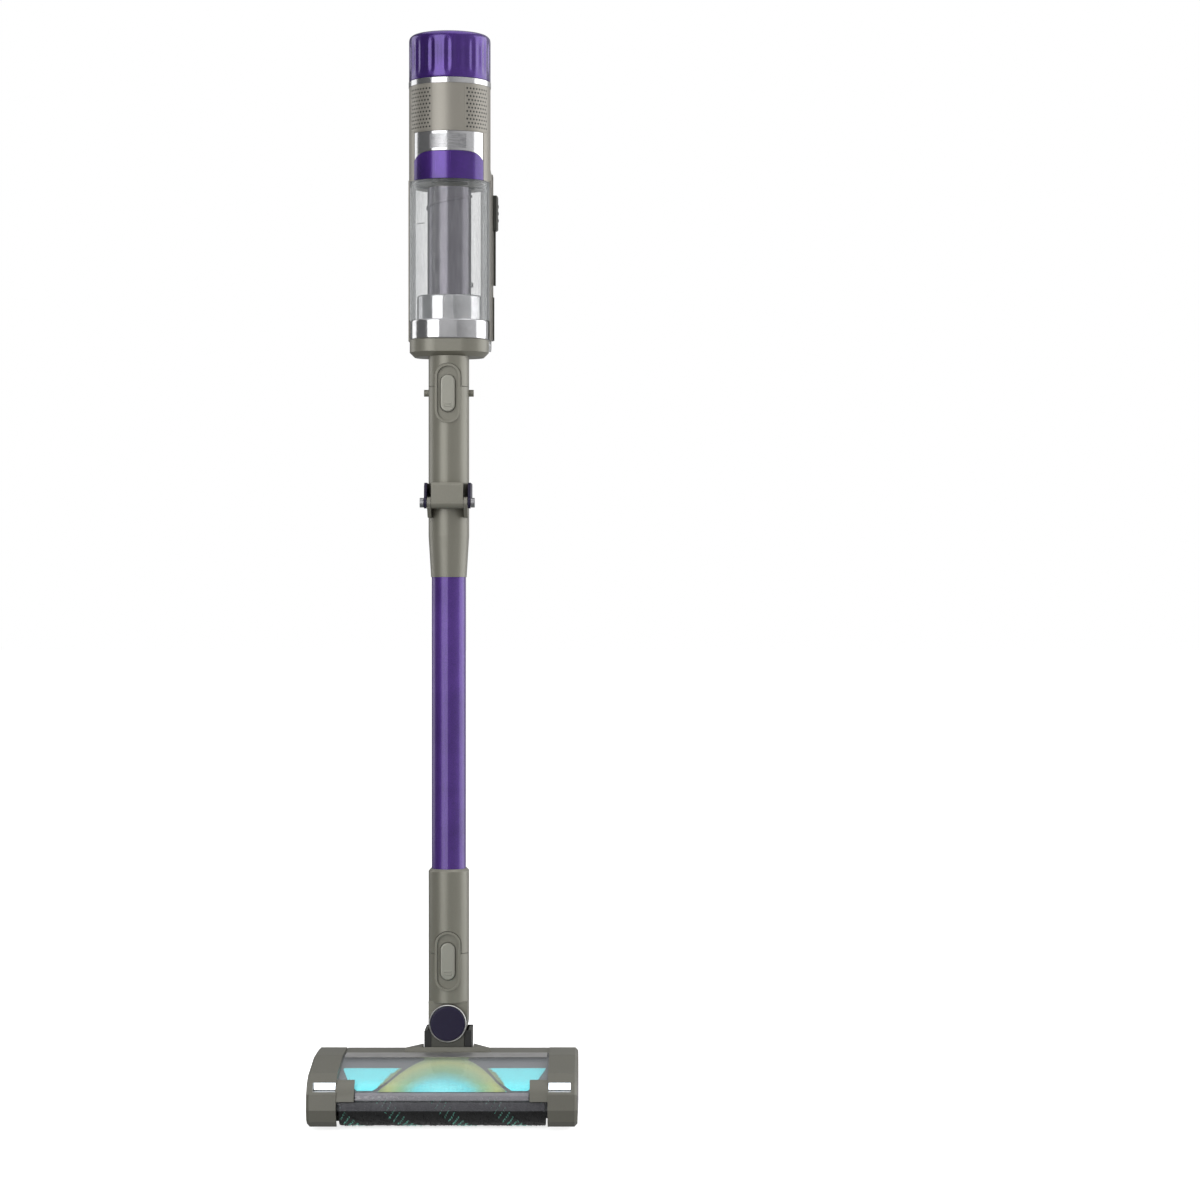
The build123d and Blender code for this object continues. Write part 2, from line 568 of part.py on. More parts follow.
with BuildPart() as hinge_cuff:
    for side in (-1, 1):
        near, far = sorted((side * CUFF_IN, side * CUFF_OUT))
        side_profile((near, far), [(FOLD_DEPTH - 2, FOLD_Z), (FOLD_DEPTH, CUFF_TOP - 4), (-30, CUFF_TOP),
                                   (12, CUFF_TOP), (12, FOLD_Z + 1), (-26, FOLD_Z + 1)])
        bar_x(6, (near, far), FOLD_DEPTH, FOLD_Z)
        bar_x(FOLD_PIN_R + 0.05, (near, far), FOLD_DEPTH, FOLD_Z, mode=Mode.SUBTRACT)
        near, far = sorted((side * 19, side * CUFF_OUT))
        bar_x(3, (near, far), 4, CUFF_TOP - 8)
    with BuildSketch(Plane.XY.offset(FOLD_Z)):
        with Locations((0, WAND_Y)):
            RectangleRounded(SHELL_W, SHELL_D, SHELL_W / 2 - 0.1)
    extrude(amount=60, mode=Mode.SUBTRACT)
save(hinge_cuff, "hinge_cuff")

with BuildPart() as fold_hose:
    round_prism(AIRWAY_R - 0.5, FOLD_Z - 22, FOLD_Z + 22)
    round_prism(AIRWAY_R - 2, FOLD_Z - 22, FOLD_Z + 22, mode=Mode.SUBTRACT)
save(fold_hose, "fold_hose")

upper_release_button = release_button(SEAM_HIGH)
save(upper_release_button, "upper_release_button")

with BuildPart() as fold_latch:
    side_profile((-10, 10), [(29, 607), (35, 604), (38, 610), (38, 696), (36, 702), (29, 702)])
    fillet(fold_latch.edges().filter_by(Axis.Z), 1.2)
    bar_x(1.55, (-10, 10), LATCH_DEPTH, LATCH_PIN_Z, mode=Mode.SUBTRACT)
save(fold_latch, "fold_latch")

# ---- Hand-held vacuum: inlet and dust cup -------------------------------------------
LID_PIN_DEPTH, LID_PIN_Z = 43.0, 799.0
COLLAR_BACK = 38.5
with BuildPart() as inlet_shell:
    oval_prism(SHELL_W, SHELL_D, SEAM_HIGH + GAP / 2, NECK_TOP)
    for inset, z in ((5, NECK_TOP), (0, NECK_TOP + 5)):
        with BuildSketch(Plane.XY.offset(z)):
            with Locations((0, WAND_Y + (COLLAR_BACK - 21.5) / 2)):
                RectangleRounded(83 - 2 * inset, COLLAR_BACK + 21.5 - 2 * inset, 28 - inset)
    loft()
    with BuildSketch(Plane.XY.offset(NECK_TOP + 5)):
        with Locations((0, WAND_Y + (COLLAR_BACK - 21.5) / 2)):
            RectangleRounded(83, COLLAR_BACK + 21.5, 28)
    extrude(amount=COLLAR_H - 5)
    for side in (-1, 1):
        near, far = sorted((side * 14.4, side * 21))
        block((near, far), (30, LID_PIN_DEPTH), (LID_PIN_Z - 4, LID_PIN_Z + 4))
        bar_x(4, (near, far), LID_PIN_DEPTH, LID_PIN_Z)
        bar_x(1.5, (near, far), LID_PIN_DEPTH, LID_PIN_Z, mode=Mode.SUBTRACT)
    round_prism(SOCKET_R, SEAM_HIGH - 1, SEAM_HIGH + SPIGOT_RISE + 1, mode=Mode.SUBTRACT)
    round_prism(AIRWAY_R, SEAM_HIGH + SPIGOT_RISE, CUP_LOW + 1, mode=Mode.SUBTRACT)
    bezel_notch(SEAM_HIGH)
save(inlet_shell, "inlet_shell")

DUCT_MID = 9.0
DUCT_TOP = 966.0
with BuildPart() as cup_floor_ring:
    with BuildSketch(Plane.XY.offset(CUP_LOW)):
        with Locations((0, WAND_Y + 10.5)):
            RectangleRounded(82, 64, 31.9)
    extrude(amount=FLOOR_Z - CUP_LOW)
    fillet(cup_floor_ring.edges().filter_by(GeomType.CIRCLE), 2)
    with BuildSketch(Plane.XY.offset(FLOOR_Z)):
        with Locations((0, WAND_Y + 11)):
            RectangleRounded(68, 57, 28.4)
    extrude(amount=26)
    fillet(cup_floor_ring.faces().sort_by(Axis.Z)[-1].edges(), 2.5)
    round_prism(AIRWAY_R, CUP_LOW - 1, FLOOR_Z + 1, mode=Mode.SUBTRACT)
    round_prism(DUCT_R, FLOOR_Z, 900, DUCT_MID, mode=Mode.SUBTRACT)
save(cup_floor_ring, "cup_floor_ring")

with BuildPart() as inlet_duct:
    round_prism(DUCT_R, FLOOR_Z, DUCT_TOP, DUCT_MID)
    round_prism(DUCT_R - 3, FLOOR_Z - 1, DUCT_TOP - 3, DUCT_MID, mode=Mode.SUBTRACT)
    block((-13, 13), (20, 40), (DUCT_TOP - 34, DUCT_TOP - 6), mode=Mode.SUBTRACT)
save(inlet_duct, "inlet_duct")

CUP_BACK = CUP_FRONT + CUP_D
LIP_FRONT = 46.0            # front of the chamber that hangs below the floor
RAIL_FRONT, RAIL_BACK = 14.0, 30.0  # frame rails let into the cup's sides
with BuildPart() as dust_cup:
    oval_prism(CUP_W, CUP_D, CUP_LOW, CUP_TOP, CUP_MID)
    side_profile((-50, 50), [(-30, 800), (-30, FLOOR_Z), (LIP_FRONT, FLOOR_Z), (LIP_FRONT, CUP_LOW),
                             (CUP_BACK + 5, FLOOR_Z + 2), (CUP_BACK + 5, 800)], mode=Mode.SUBTRACT)
    oval_prism(CUP_W - 2 * CUP_WALL, CUP_D - 2 * CUP_WALL, 800, CUP_TOP + 1, CUP_MID, mode=Mode.SUBTRACT)
    for side in (-1, 1):
        near, far = sorted((side * 42, side * 50))
        block((near, far), (RAIL_FRONT - 0.2, RAIL_BACK + 0.2), (CUP_LOW - 1, CUP_TOP + 1),
              mode=Mode.SUBTRACT)
save(dust_cup, "dust_cup")

SHROUD_MID = 62.0
with BuildPart() as mesh_shroud:
    round_prism(21, 868, CUP_TOP, SHROUD_MID)
    round_prism(23, 868, 872, SHROUD_MID)
    round_prism(19, 871, CUP_TOP + 1, SHROUD_MID, mode=Mode.SUBTRACT)
save(mesh_shroud, "mesh_shroud")

with BuildPart() as cup_lid:
    side_profile((-50, 50), [(LIP_FRONT + 1.6, CUP_LOW - 0.2), (CUP_BACK + 5, FLOOR_Z + 1.2),
                             (CUP_BACK + 5, 819), (LIP_FRONT + 1.6, 797)])
    oval_prism(CUP_W - 0.6, CUP_D - 0.6, 780, 840, CUP_MID, mode=Mode.INTERSECT)
    block((-14, 14), (LID_PIN_DEPTH, LIP_FRONT + 2), (LID_PIN_Z - 2, LID_PIN_Z + 3.5))
    bar_x(3.5, (-14, 14), LID_PIN_DEPTH, LID_PIN_Z)
    bar_x(1.55, (-14, 14), LID_PIN_DEPTH, LID_PIN_Z, mode=Mode.SUBTRACT)
    block((35, 50), (70, 92), (790, 840), mode=Mode.SUBTRACT)
save(cup_lid, "cup_lid")

# ---- Hand-held vacuum: cup emptying gear on the right side --------------------------
RAIL_OUT = 43.6
with BuildPart() as empty_slider:
    block((RAIL_OUT + GAP, 49), (72, 90), (930, 967))
    chamfer(empty_slider.faces().sort_by(Axis.X)[-1].edges(), 1.5)
    block((RAIL_OUT + GAP, RAIL_OUT + GAP + 2.5), (79, 83), (871, 935))
    for z in (941, 948.5, 956):
        block((48.6, 49.6), (75, 87), (z - 1, z + 1))
save(empty_slider, "empty_slider")

with BuildPart() as lid_catch:
    block((39.8, 44.9), (76.4, 85.6), (812, 858))
    bar_y(1.55, (70, 92), 853, x=42.2, mode=Mode.SUBTRACT)
save(lid_catch, "lid_catch")

# ---- Hand-held vacuum: motor housing ------------------------------------------------
BAND_HALF_ANGLE = 58.0
BAND_R = 40.0


def housing_segment(outer_r, inner_r, half_angle, z_low, z_high, mode=Mode.ADD):
    """Ring segment round the housing's axis, centred on the front."""
    def at(radius, degrees):
        a = math.radians(degrees)
        return (radius * math.sin(a), WAND_Y + HOUSING_MID - radius * math.cos(a))

    with BuildSketch(Plane.XY.offset(z_low)) as profile:
        with BuildLine():
            ThreePointArc(at(outer_r, -half_angle), at(outer_r, 0), at(outer_r, half_angle))
            ThreePointArc(at(inner_r, -half_angle), at(inner_r, 0), at(inner_r, half_angle))
            for end in (-half_angle, half_angle):
                Line(at(outer_r, end), at(inner_r, end))
        make_face()
    extrude(profile.sketch, amount=z_high - z_low, mode=mode)


BAND_SPLIT, BAND_TOP = 1002.0, 1023.0
HANDLE_ROOT_BACK = 82.0
with BuildPart() as motor_housing:
    round_prism(HOUSING_R, CUP_TOP, HOUSING_TOP, HOUSING_MID)
    oval_prism(CUP_W, CUP_D, CUP_TOP, CUP_TOP + 14, CUP_MID)
    housing_segment(50, BAND_R, BAND_HALF_ANGLE, CUP_TOP - 1, BAND_TOP, mode=Mode.SUBTRACT)
    round_prism(36, CUP_TOP + 4, HOUSING_TOP + 1, HOUSING_MID, mode=Mode.SUBTRACT)
    round_prism(20, CUP_TOP - 1, CUP_TOP + 20, HOUSING_MID, mode=Mode.SUBTRACT)
    block((30, RAIL_OUT), (70, 92), (812, CUP_TOP + 16))
    oval_prism(CUP_W, CUP_D, 800, CUP_TOP, CUP_MID, mode=Mode.SUBTRACT)
    block((38, 50), (76, 86), (810, 862), mode=Mode.SUBTRACT)
    bar_y(1.5, (74, 92), 853, x=42.2, mode=Mode.SUBTRACT)
    for side in (-1, 1):
        near, far = sorted((side * 42.1, side * 43.4))
        block((near, far), (RAIL_FRONT, RAIL_BACK), (CUP_LOW, CUP_TOP + 2))
save(motor_housing, "motor_housing")

with BuildPart() as handle_root:
    block((-HANDLE_HALF, HANDLE_HALF), (50, HANDLE_ROOT_BACK), (CUP_TOP + 14, HOUSING_TOP))
    block((-HANDLE_HALF, HANDLE_HALF), (65, HANDLE_ROOT_BACK), (HOUSING_TOP - 1, 1114))
    round_prism(HOUSING_R, CUP_TOP, HOUSING_TOP, HOUSING_MID, mode=Mode.SUBTRACT)
    fillet(handle_root.faces().sort_by(Axis.Z)[-1].edges(), 3)
save(handle_root, "handle_root")

with BuildPart() as lower_band:
    housing_segment(HOUSING_R + 0.2, BAND_R, BAND_HALF_ANGLE, CUP_TOP, BAND_SPLIT)
save(lower_band, "lower_band")

with BuildPart() as upper_band:
    housing_segment(HOUSING_R + 0.2, BAND_R, BAND_HALF_ANGLE, BAND_SPLIT, BAND_TOP)
save(upper_band, "upper_band")

with BuildPart() as trim_ring:
    round_prism(HOUSING_R + 0.4, HOUSING_TOP, CAP_LOW - GAP, HOUSING_MID)
    round_prism(35, HOUSING_TOP - 1, CAP_LOW, HOUSING_MID, mode=Mode.SUBTRACT)
save(trim_ring, "trim_ring")

with BuildPart() as suction_motor:
    round_prism(31, 992, 1030, HOUSING_MID)
    round_prism(36, CUP_TOP + 4, 992, HOUSING_MID)
    round_prism(28, CUP_TOP + 3, 991, HOUSING_MID, mode=Mode.SUBTRACT)
save(suction_motor, "suction_motor")

BLADES = 9
with BuildPart() as suction_fan:
    round_prism(29, 1032, 1034.5, HOUSING_MID)
    with Locations((0, WAND_Y + HOUSING_MID, 1034.4)):
        Cone(10, 4, 12, align=(Align.CENTER, Align.CENTER, Align.MIN))
        with PolarLocations(17, BLADES):
            with Locations(Rotation(0, 0, 35)):
                Box(20, 1.4, 9, align=(Align.CENTER, Align.CENTER, Align.MIN))
save(suction_fan, "suction_fan")

FLUTES = 48
with BuildPart() as filter_cap:
    round_prism(HOUSING_R, CAP_LOW, CAP_TOP, HOUSING_MID)
    fillet(filter_cap.faces().sort_by(Axis.Z)[-1].edges(), 6)
    with Locations((0, WAND_Y + HOUSING_MID, CAP_LOW + 10)):
        with PolarLocations(HOUSING_R + 0.35, FLUTES):
            Cylinder(0.9, 32, align=(Align.CENTER, Align.CENTER, Align.MIN), mode=Mode.SUBTRACT)
    round_prism(38.5, CAP_LOW - 1, CAP_TOP - 4, HOUSING_MID, mode=Mode.SUBTRACT)
save(filter_cap, "filter_cap")

with BuildPart() as exhaust_filter:
    round_prism(38.5, CAP_LOW + 2, CAP_TOP - 4, HOUSING_MID)
    round_prism(20, CAP_LOW + 1, CAP_TOP - 12, HOUSING_MID, mode=Mode.SUBTRACT)
save(exhaust_filter, "exhaust_filter")

# ---- Handle -------------------------------------------------------------------------
ARM_START = (80.0, 1025.0)          # depth and z of the battery arm's middle line at the root
ARM_HALF = 15.5
ARM_LENGTH = 96.0
BLOCK_BACK = GRIP_REACH


def along_battery(run, rise):
    """Depth and z of a point that far along the battery arm and that far above its middle."""
    a = math.radians(BATTERY_SLOPE)
    return (ARM_START[0] + run * math.cos(a) - rise * math.sin(a),
            ARM_START[1] + run * math.sin(a) + rise * math.cos(a))


with BuildPart() as battery_arm:
    side_profile((-HANDLE_HALF, HANDLE_HALF),
                 [(ARM_START[0] + 2, 1008), along_battery(ARM_LENGTH, -ARM_HALF),
                  along_battery(ARM_LENGTH, ARM_HALF), (ARM_START[0] + 2, 1042)])
    side_profile((-12.4, 12.4), [along_battery(8, -12), along_battery(ARM_LENGTH + 9, -12),
                                 along_battery(ARM_LENGTH + 9, 12), along_battery(8, 12)], mode=Mode.SUBTRACT)
save(battery_arm, "battery_arm")

SOCKET_BORE_R, SOCKET_BORE_L = 2.85, 11.0
SOCKET_Z = 1068.0
with BuildPart() as battery:
    side_profile((-17.5, 17.5),
                 [along_battery(ARM_LENGTH + 0.4, -ARM_HALF - 1), (BLOCK_BACK - 6, 1054),
                  (BLOCK_BACK, 1062), (BLOCK_BACK, 1092), along_battery(ARM_LENGTH + 0.4, ARM_HALF)])
    side_profile((-12, 12), [along_battery(8.4, -11.6), along_battery(ARM_LENGTH + 2, -11.6),
                             along_battery(ARM_LENGTH + 2, 11.6), along_battery(8.4, 11.6)])
    bar_y(SOCKET_BORE_R, (BLOCK_BACK - SOCKET_BORE_L, BLOCK_BACK + 1), SOCKET_Z, mode=Mode.SUBTRACT)
save(battery, "battery")

GRIP_LOW, GRIP_THICK = 1086.0, 27.0
GRIP_RISE = math.tan(math.radians(GRIP_SLOPE))


def grip_z(depth, height):
    """Height of a line that far above the grip's underside."""
    return GRIP_LOW + (depth - HANDLE_ROOT_BACK) * GRIP_RISE + height


def grip_beam(half_width, start, low, high, mode=Mode.ADD):
    """Sloping beam of the grip between two heights above its underside."""
    side_profile((-half_width, half_width),
                 [(start, grip_z(start, low)), (BLOCK_FRONT, grip_z(BLOCK_FRONT, low)),
                  (BLOCK_FRONT, grip_z(BLOCK_FRONT, high)), (start, grip_z(start, high))], mode=mode)


BLOCK_FRONT = 172.0
with BuildPart() as grip_arm:
    grip_beam(11, HANDLE_ROOT_BACK, 2, 24)
    side_profile((-5.4, 5.4), [(85, 1080), (109, 1080), (109, grip_z(109, 14)), (85, grip_z(85, 14))],
                 mode=Mode.SUBTRACT)
    bar_x(1.5, (-11, 11), 97, grip_z(97, 8), mode=Mode.SUBTRACT)
save(grip_arm, "grip_arm")

with BuildPart() as grip_sleeve:
    grip_beam(15, 112, 0, GRIP_THICK)
    fillet(grip_sleeve.edges().filter_by(Axis.X, reverse=True).filter_by(Axis.Z, reverse=True), 5)
    grip_beam(11, HANDLE_ROOT_BACK, 2, 24, mode=Mode.SUBTRACT)
save(grip_sleeve, "grip_sleeve")

with BuildPart() as trigger:
    side_profile((-5, 5), [(90, grip_z(90, 9)), (101, grip_z(101, 12)), (104, grip_z(104, 0)),
                           (103, 1078), (98, 1073), (95, 1076), (91, grip_z(91, -1))])
    bar_x(1.55, (-5, 5), 97, grip_z(97, 8), mode=Mode.SUBTRACT)
save(trigger, "trigger")

with BuildPart() as handheld_pins:
    bar_x(1.5, (-21, 21), LID_PIN_DEPTH, LID_PIN_Z)
    bar_y(1.5, (74, 92), 853, x=42.2)
    bar_x(1.5, (-11, 11), 97, grip_z(97, 8))
save(handheld_pins, "handheld_pins")

with BuildPart() as handle_block:
    side_profile((-17.5, 17.5),
                 [along_battery(ARM_LENGTH - 12, ARM_HALF), along_battery(ARM_LENGTH + 0.2, ARM_HALF),
                  along_battery(ARM_LENGTH + 0.2, ARM_HALF + 0.5),
                  along_battery(ARM_LENGTH + 61, ARM_HALF + 0.5), (BLOCK_BACK, 1128),
                  (BLOCK_BACK - 12, BLOCK_TOP), (BLOCK_FRONT, 1137), (BLOCK_FRONT, 1090),
                  along_battery(ARM_LENGTH - 12, ARM_HALF + 4)])
    round_prism(6, 1128, 1150, 196, mode=Mode.SUBTRACT)
    round_prism(2.4, 1122, 1150, 196, mode=Mode.SUBTRACT)
save(handle_block, "handle_block")

with BuildPart() as mode_button:
    round_prism(5.6, 1133, 1143, 196)
    round_prism(2, 1124.5, 1134, 196)
    fillet(mode_button.faces().sort_by(Axis.Z)[-1].edges(), 1)
save(mode_button, "mode_button")
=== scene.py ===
"""Looks of the cordless stick vacuum: finishes for the CAD pieces, and detailed pieces over them."""
import math
import random

import bmesh
import bpy
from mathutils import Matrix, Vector


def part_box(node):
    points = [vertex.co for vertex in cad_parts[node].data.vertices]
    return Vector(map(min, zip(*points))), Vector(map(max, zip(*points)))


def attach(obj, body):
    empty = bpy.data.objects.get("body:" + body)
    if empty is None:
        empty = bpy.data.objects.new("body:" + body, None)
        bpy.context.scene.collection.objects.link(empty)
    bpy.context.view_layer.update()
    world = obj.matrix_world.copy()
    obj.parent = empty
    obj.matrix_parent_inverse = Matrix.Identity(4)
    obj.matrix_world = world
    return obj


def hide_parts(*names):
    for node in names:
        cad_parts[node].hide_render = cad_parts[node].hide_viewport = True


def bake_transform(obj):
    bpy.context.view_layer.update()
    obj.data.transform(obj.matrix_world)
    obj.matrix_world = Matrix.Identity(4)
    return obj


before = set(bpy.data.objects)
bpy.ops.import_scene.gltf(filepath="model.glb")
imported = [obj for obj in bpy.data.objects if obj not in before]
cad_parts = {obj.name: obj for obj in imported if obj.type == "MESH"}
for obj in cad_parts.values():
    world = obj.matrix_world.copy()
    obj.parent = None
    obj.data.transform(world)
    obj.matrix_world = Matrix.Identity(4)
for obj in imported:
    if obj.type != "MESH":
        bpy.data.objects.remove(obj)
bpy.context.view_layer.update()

random.seed(7)
MM = 0.001

# Places read from the frame, in millimetres
WAND_Y = (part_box("wand_tube")[0].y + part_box("wand_tube")[1].y) / 2 / MM
BRUSH_LOW, BRUSH_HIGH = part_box("brush_pile")
BRUSH_R = (BRUSH_HIGH.z - BRUSH_LOW.z) / 2 / MM
BRUSH_DEPTH = (BRUSH_LOW.y + BRUSH_HIGH.y) / 2 / MM - WAND_Y
BRUSH_Z = (BRUSH_LOW.z + BRUSH_HIGH.z) / 2 / MM
BRUSH_HALF = BRUSH_HIGH.x / MM
CAP_LOW, CAP_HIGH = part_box("filter_cap")
HOUSING_MID = (CAP_LOW.y + CAP_HIGH.y) / 2 / MM - WAND_Y
HOUSING_R = (CAP_HIGH.x - CAP_LOW.x) / 2 / MM

# Helical bands of tufts on the brush, in millimetres
PILE_CORE = BRUSH_R - 2.5
BAND_PITCH, BAND_SPACING, BAND_HALF = 110.0, 55.0, 9.0
FIRST_BAND = -54.0


# ---- Node materials -----------------------------------------------------------------
def srgb(r, g, b):
    """Linear colour from 0-255 screen values."""
    def lin(v):
        v /= 255
        return v / 12.92 if v <= 0.04045 else ((v + 0.055) / 1.055) ** 2.4
    return (lin(r), lin(g), lin(b), 1.0)


def shade(colour, factor):
    """Colour made darker or lighter by a factor."""
    return tuple(min(1.0, c * factor) for c in colour[:3]) + (1.0,)


class Finish:
    """One node material, built step by step round a Principled shader."""

    def __init__(self, name, rough, metal=0.0, **sockets):
        self.mat = bpy.data.materials.new(name)
        self.mat.use_nodes = True
        self.tree = self.mat.node_tree
        self.bsdf = self.tree.nodes["Principled BSDF"]
        self.bsdf.inputs["Roughness"].default_value = rough
        self.bsdf.inputs["Metallic"].default_value = metal
        for key, value in sockets.items():
            self.bsdf.inputs[key.replace("_", " ")].default_value = value
        coords = self.tree.nodes.new("ShaderNodeTexCoord")
        self.coords = coords.outputs["Object"]

    def node(self, kind, inputs=None, **settings):
        made = self.tree.nodes.new(kind)
        for key, value in settings.items():
            setattr(made, key, value)
        for key, value in (inputs or {}).items():
            if isinstance(value, bpy.types.NodeSocket):
                self.tree.links.new(value, made.inputs[key])
            else:
                made.inputs[key].default_value = value
        return made

    def stretched(self, scale):
        """Object coordinates scaled on each axis."""
        return self.node("ShaderNodeMapping", {"Vector": self.coords, "Scale": scale}).outputs["Vector"]

    def noise(self, size_mm, detail=3.0, rough=0.55, vector=None):
        """Noise whose blobs are about that size."""
        made = self.node("ShaderNodeTexNoise", {"Vector": vector or self.coords, "Scale": 1000 / size_mm,
                                                "Detail": detail, "Roughness": rough})
        return made.outputs["Fac"]

    def ramp(self, factor, stops):
        """Colour ramp through (position, colour) stops."""
        made = self.node("ShaderNodeValToRGB", {"Fac": factor})
        ramp = made.color_ramp
        while len(ramp.elements) < len(stops):
            ramp.elements.new(0.5)
        for element, (place, colour) in zip(ramp.elements, stops):
            element.position = place
            element.color = colour if len(colour) == 4 else tuple(colour) + (1.0,)
        return made.outputs["Color"]

    def grey_ramp(self, factor, stops):
        return self.ramp(factor, [(place, (v, v, v, 1.0)) for place, v in stops])

    def mix(self, factor, a, b, blend="MIX"):
        made = self.node("ShaderNodeMix", data_type="RGBA", blend_type=blend)
        for key, value in ((0, factor), (6, a), (7, b)):
            if isinstance(value, bpy.types.NodeSocket):
                self.tree.links.new(value, made.inputs[key])
            else:
                made.inputs[key].default_value = value
        return made.outputs[2]

    def math(self, operation, a, b=0.0):
        made = self.node("ShaderNodeMath", {0: a, 1: b}, operation=operation)
        return made.outputs["Value"]

    def rounded_normal(self, radius_mm):
        """Normal as if the edges were rounded to that radius."""
        return self.node("ShaderNodeBevel", {"Radius": radius_mm * MM}, samples=4).outputs["Normal"]

    def wear(self):
        """1 on rubbed edges, 0 elsewhere: where a rounded normal leaves the face's own."""
        rounded = self.rounded_normal(0.9)
        own = self.node("ShaderNodeNewGeometry").outputs["Normal"]
        along = self.node("ShaderNodeVectorMath", {0: rounded, 1: own}, operation="DOT_PRODUCT")
        edge = self.grey_ramp(along.outputs["Value"], [(0.8, 1.0), (0.97, 0.0)])
        patchy = self.grey_ramp(self.noise(9), [(0.42, 0.2), (0.62, 1.0)])
        return self.math("MULTIPLY", edge, patchy)

    def colour(self, socket):
        self.tree.links.new(socket, self.bsdf.inputs["Base Color"])
        return self

    def roughness(self, low, high, factor):
        span = self.node("ShaderNodeMapRange", {"Value": factor, "To Min": low, "To Max": high})
        self.tree.links.new(span.outputs["Result"], self.bsdf.inputs["Roughness"])
        return self

    def bump(self, height, strength, depth_mm=0.1, edge_mm=0.0):
        inputs = {"Height": height, "Strength": strength, "Distance": depth_mm * MM}
        if edge_mm:
            inputs["Normal"] = self.rounded_normal(edge_mm)
        made = self.node("ShaderNodeBump", inputs)
        self.tree.links.new(made.outputs["Normal"], self.bsdf.inputs["Normal"])
        return self

    def glow(self, colour, strength):
        if isinstance(colour, bpy.types.NodeSocket):
            self.tree.links.new(colour, self.bsdf.inputs["Emission Color"])
        else:
            self.bsdf.inputs["Emission Color"].default_value = colour
        self.bsdf.inputs["Emission Strength"].default_value = strength
        return self


def moulded(name, colour, rough=0.42, grain_mm=0.5, bump=0.25, metal=0.0, worn=1.25, edge_mm=0.6, **sockets):
    """Moulded plastic: fine grain, faint mottling, hair scratches and rubbed edges."""
    f = Finish(name, rough, metal, **sockets)
    mottle = f.grey_ramp(f.noise(38, 4), [(0.3, 0.975), (0.7, 1.02)])
    base = f.mix(1.0, colour, mottle, "MULTIPLY")
    fleck = f.grey_ramp(f.noise(grain_mm, 2), [(0.35, 0.95), (0.65, 1.05)])
    base = f.mix(1.0, base, fleck, "MULTIPLY")
    f.colour(f.mix(f.wear(), base, shade(colour, worn)))
    scratch = f.noise(1.3, 5, 0.7, f.stretched((1.0, 1.0, 0.06)))
    f.roughness(rough * 0.82, rough * 1.25, scratch)
    return f.bump(f.noise(grain_mm, 2), bump, 0.03, edge_mm).mat


def lacquered(name, colour, deep, rough=0.24):
    """Metallic lacquer: fine flake under a clear coat, with faint rub marks along the tube."""
    f = Finish(name, rough, 0.55, Coat_Weight=0.6, Coat_Roughness=0.12)
    flake = f.node("ShaderNodeTexVoronoi", {"Vector": f.coords, "Scale": 2600.0}).outputs["Color"]
    tone = f.grey_ramp(flake, [(0.2, 0.78), (0.8, 1.25)])
    cloud = f.grey_ramp(f.noise(60, 3), [(0.3, 0.0), (0.7, 1.0)])
    base = f.mix(cloud, colour, deep)
    f.colour(f.mix(1.0, base, tone, "MULTIPLY"))
    rub = f.noise(2.2, 6, 0.7, f.stretched((1.0, 1.0, 0.03)))
    f.roughness(rough * 0.8, rough * 1.5, rub)
    return f.bump(flake, 0.06, 0.02, 0.5).mat


def plated(name, colour=srgb(214, 214, 216), rough=0.12, lines=(1.0, 1.0, 60.0)):
    """Chrome plate with fine turning lines and faint haze."""
    f = Finish(name, rough, 1.0)
    haze = f.grey_ramp(f.noise(16, 5), [(0.35, 0.9), (0.65, 1.03)])
    f.colour(f.mix(1.0, colour, haze, "MULTIPLY"))
    turning = f.noise(3.5, 3, 0.6, f.stretched(lines))
    f.roughness(rough * 0.7, rough * 2.0, turning)
    return f.bump(turning, 0.05, 0.02, 0.4).mat


def steel(name, rough=0.32):
    f = Finish(name, rough, 1.0)
    brushed = f.noise(1.8, 4, 0.6, f.stretched((0.1, 1.0, 1.0)))
    f.colour(f.ramp(brushed, [(0.3, srgb(128, 128, 130)), (0.7, srgb(178, 178, 180))]))
    f.roughness(rough * 0.8, rough * 1.5, brushed)
    return f.bump(brushed, 0.12, 0.03, 0.3).mat


def clear(name, tint, low=0.1, high=0.62, rough=0.06):
    """Clear moulded polycarbonate: see-through face on, brighter at the rim, lightly scuffed."""
    f = Finish(name, rough, 0.0, Specular_IOR_Level=0.7, Coat_Weight=0.5, Coat_Roughness=0.04)
    scuff = f.noise(2.5, 6, 0.7, f.stretched((1.0, 1.0, 0.12)))
    f.colour(f.mix(f.grey_ramp(f.noise(30, 3), [(0.3, 0.0), (0.7, 1.0)]), tint, shade(tint, 0.9)))
    rim = f.node("ShaderNodeLayerWeight", {"Blend": 0.35}).outputs["Facing"]
    veil = f.node("ShaderNodeMapRange", {"Value": rim, "To Min": low, "To Max": high}).outputs["Result"]
    haze = f.math("MULTIPLY", f.grey_ramp(scuff, [(0.45, 0.0), (0.8, 1.0)]), 0.12)
    f.tree.links.new(f.math("ADD", veil, haze), f.bsdf.inputs["Alpha"])
    f.roughness(rough * 0.7, rough * 3.0, scuff)
    return f.bump(f.noise(14, 2), 0.05, 0.1, 0.5).mat


def rubber(name, colour, grain_mm=0.8, bump=0.5):
    f = Finish(name, 0.78, 0.0, Sheen_Weight=0.15)
    dust = f.grey_ramp(f.noise(22, 5), [(0.45, 0.0), (0.75, 0.35)])
    f.colour(f.mix(dust, colour, shade(colour, 2.2)))
    f.roughness(0.65, 0.9, f.noise(6, 4))
    return f.bump(f.noise(grain_mm, 2), bump, 0.08, 0.4).mat


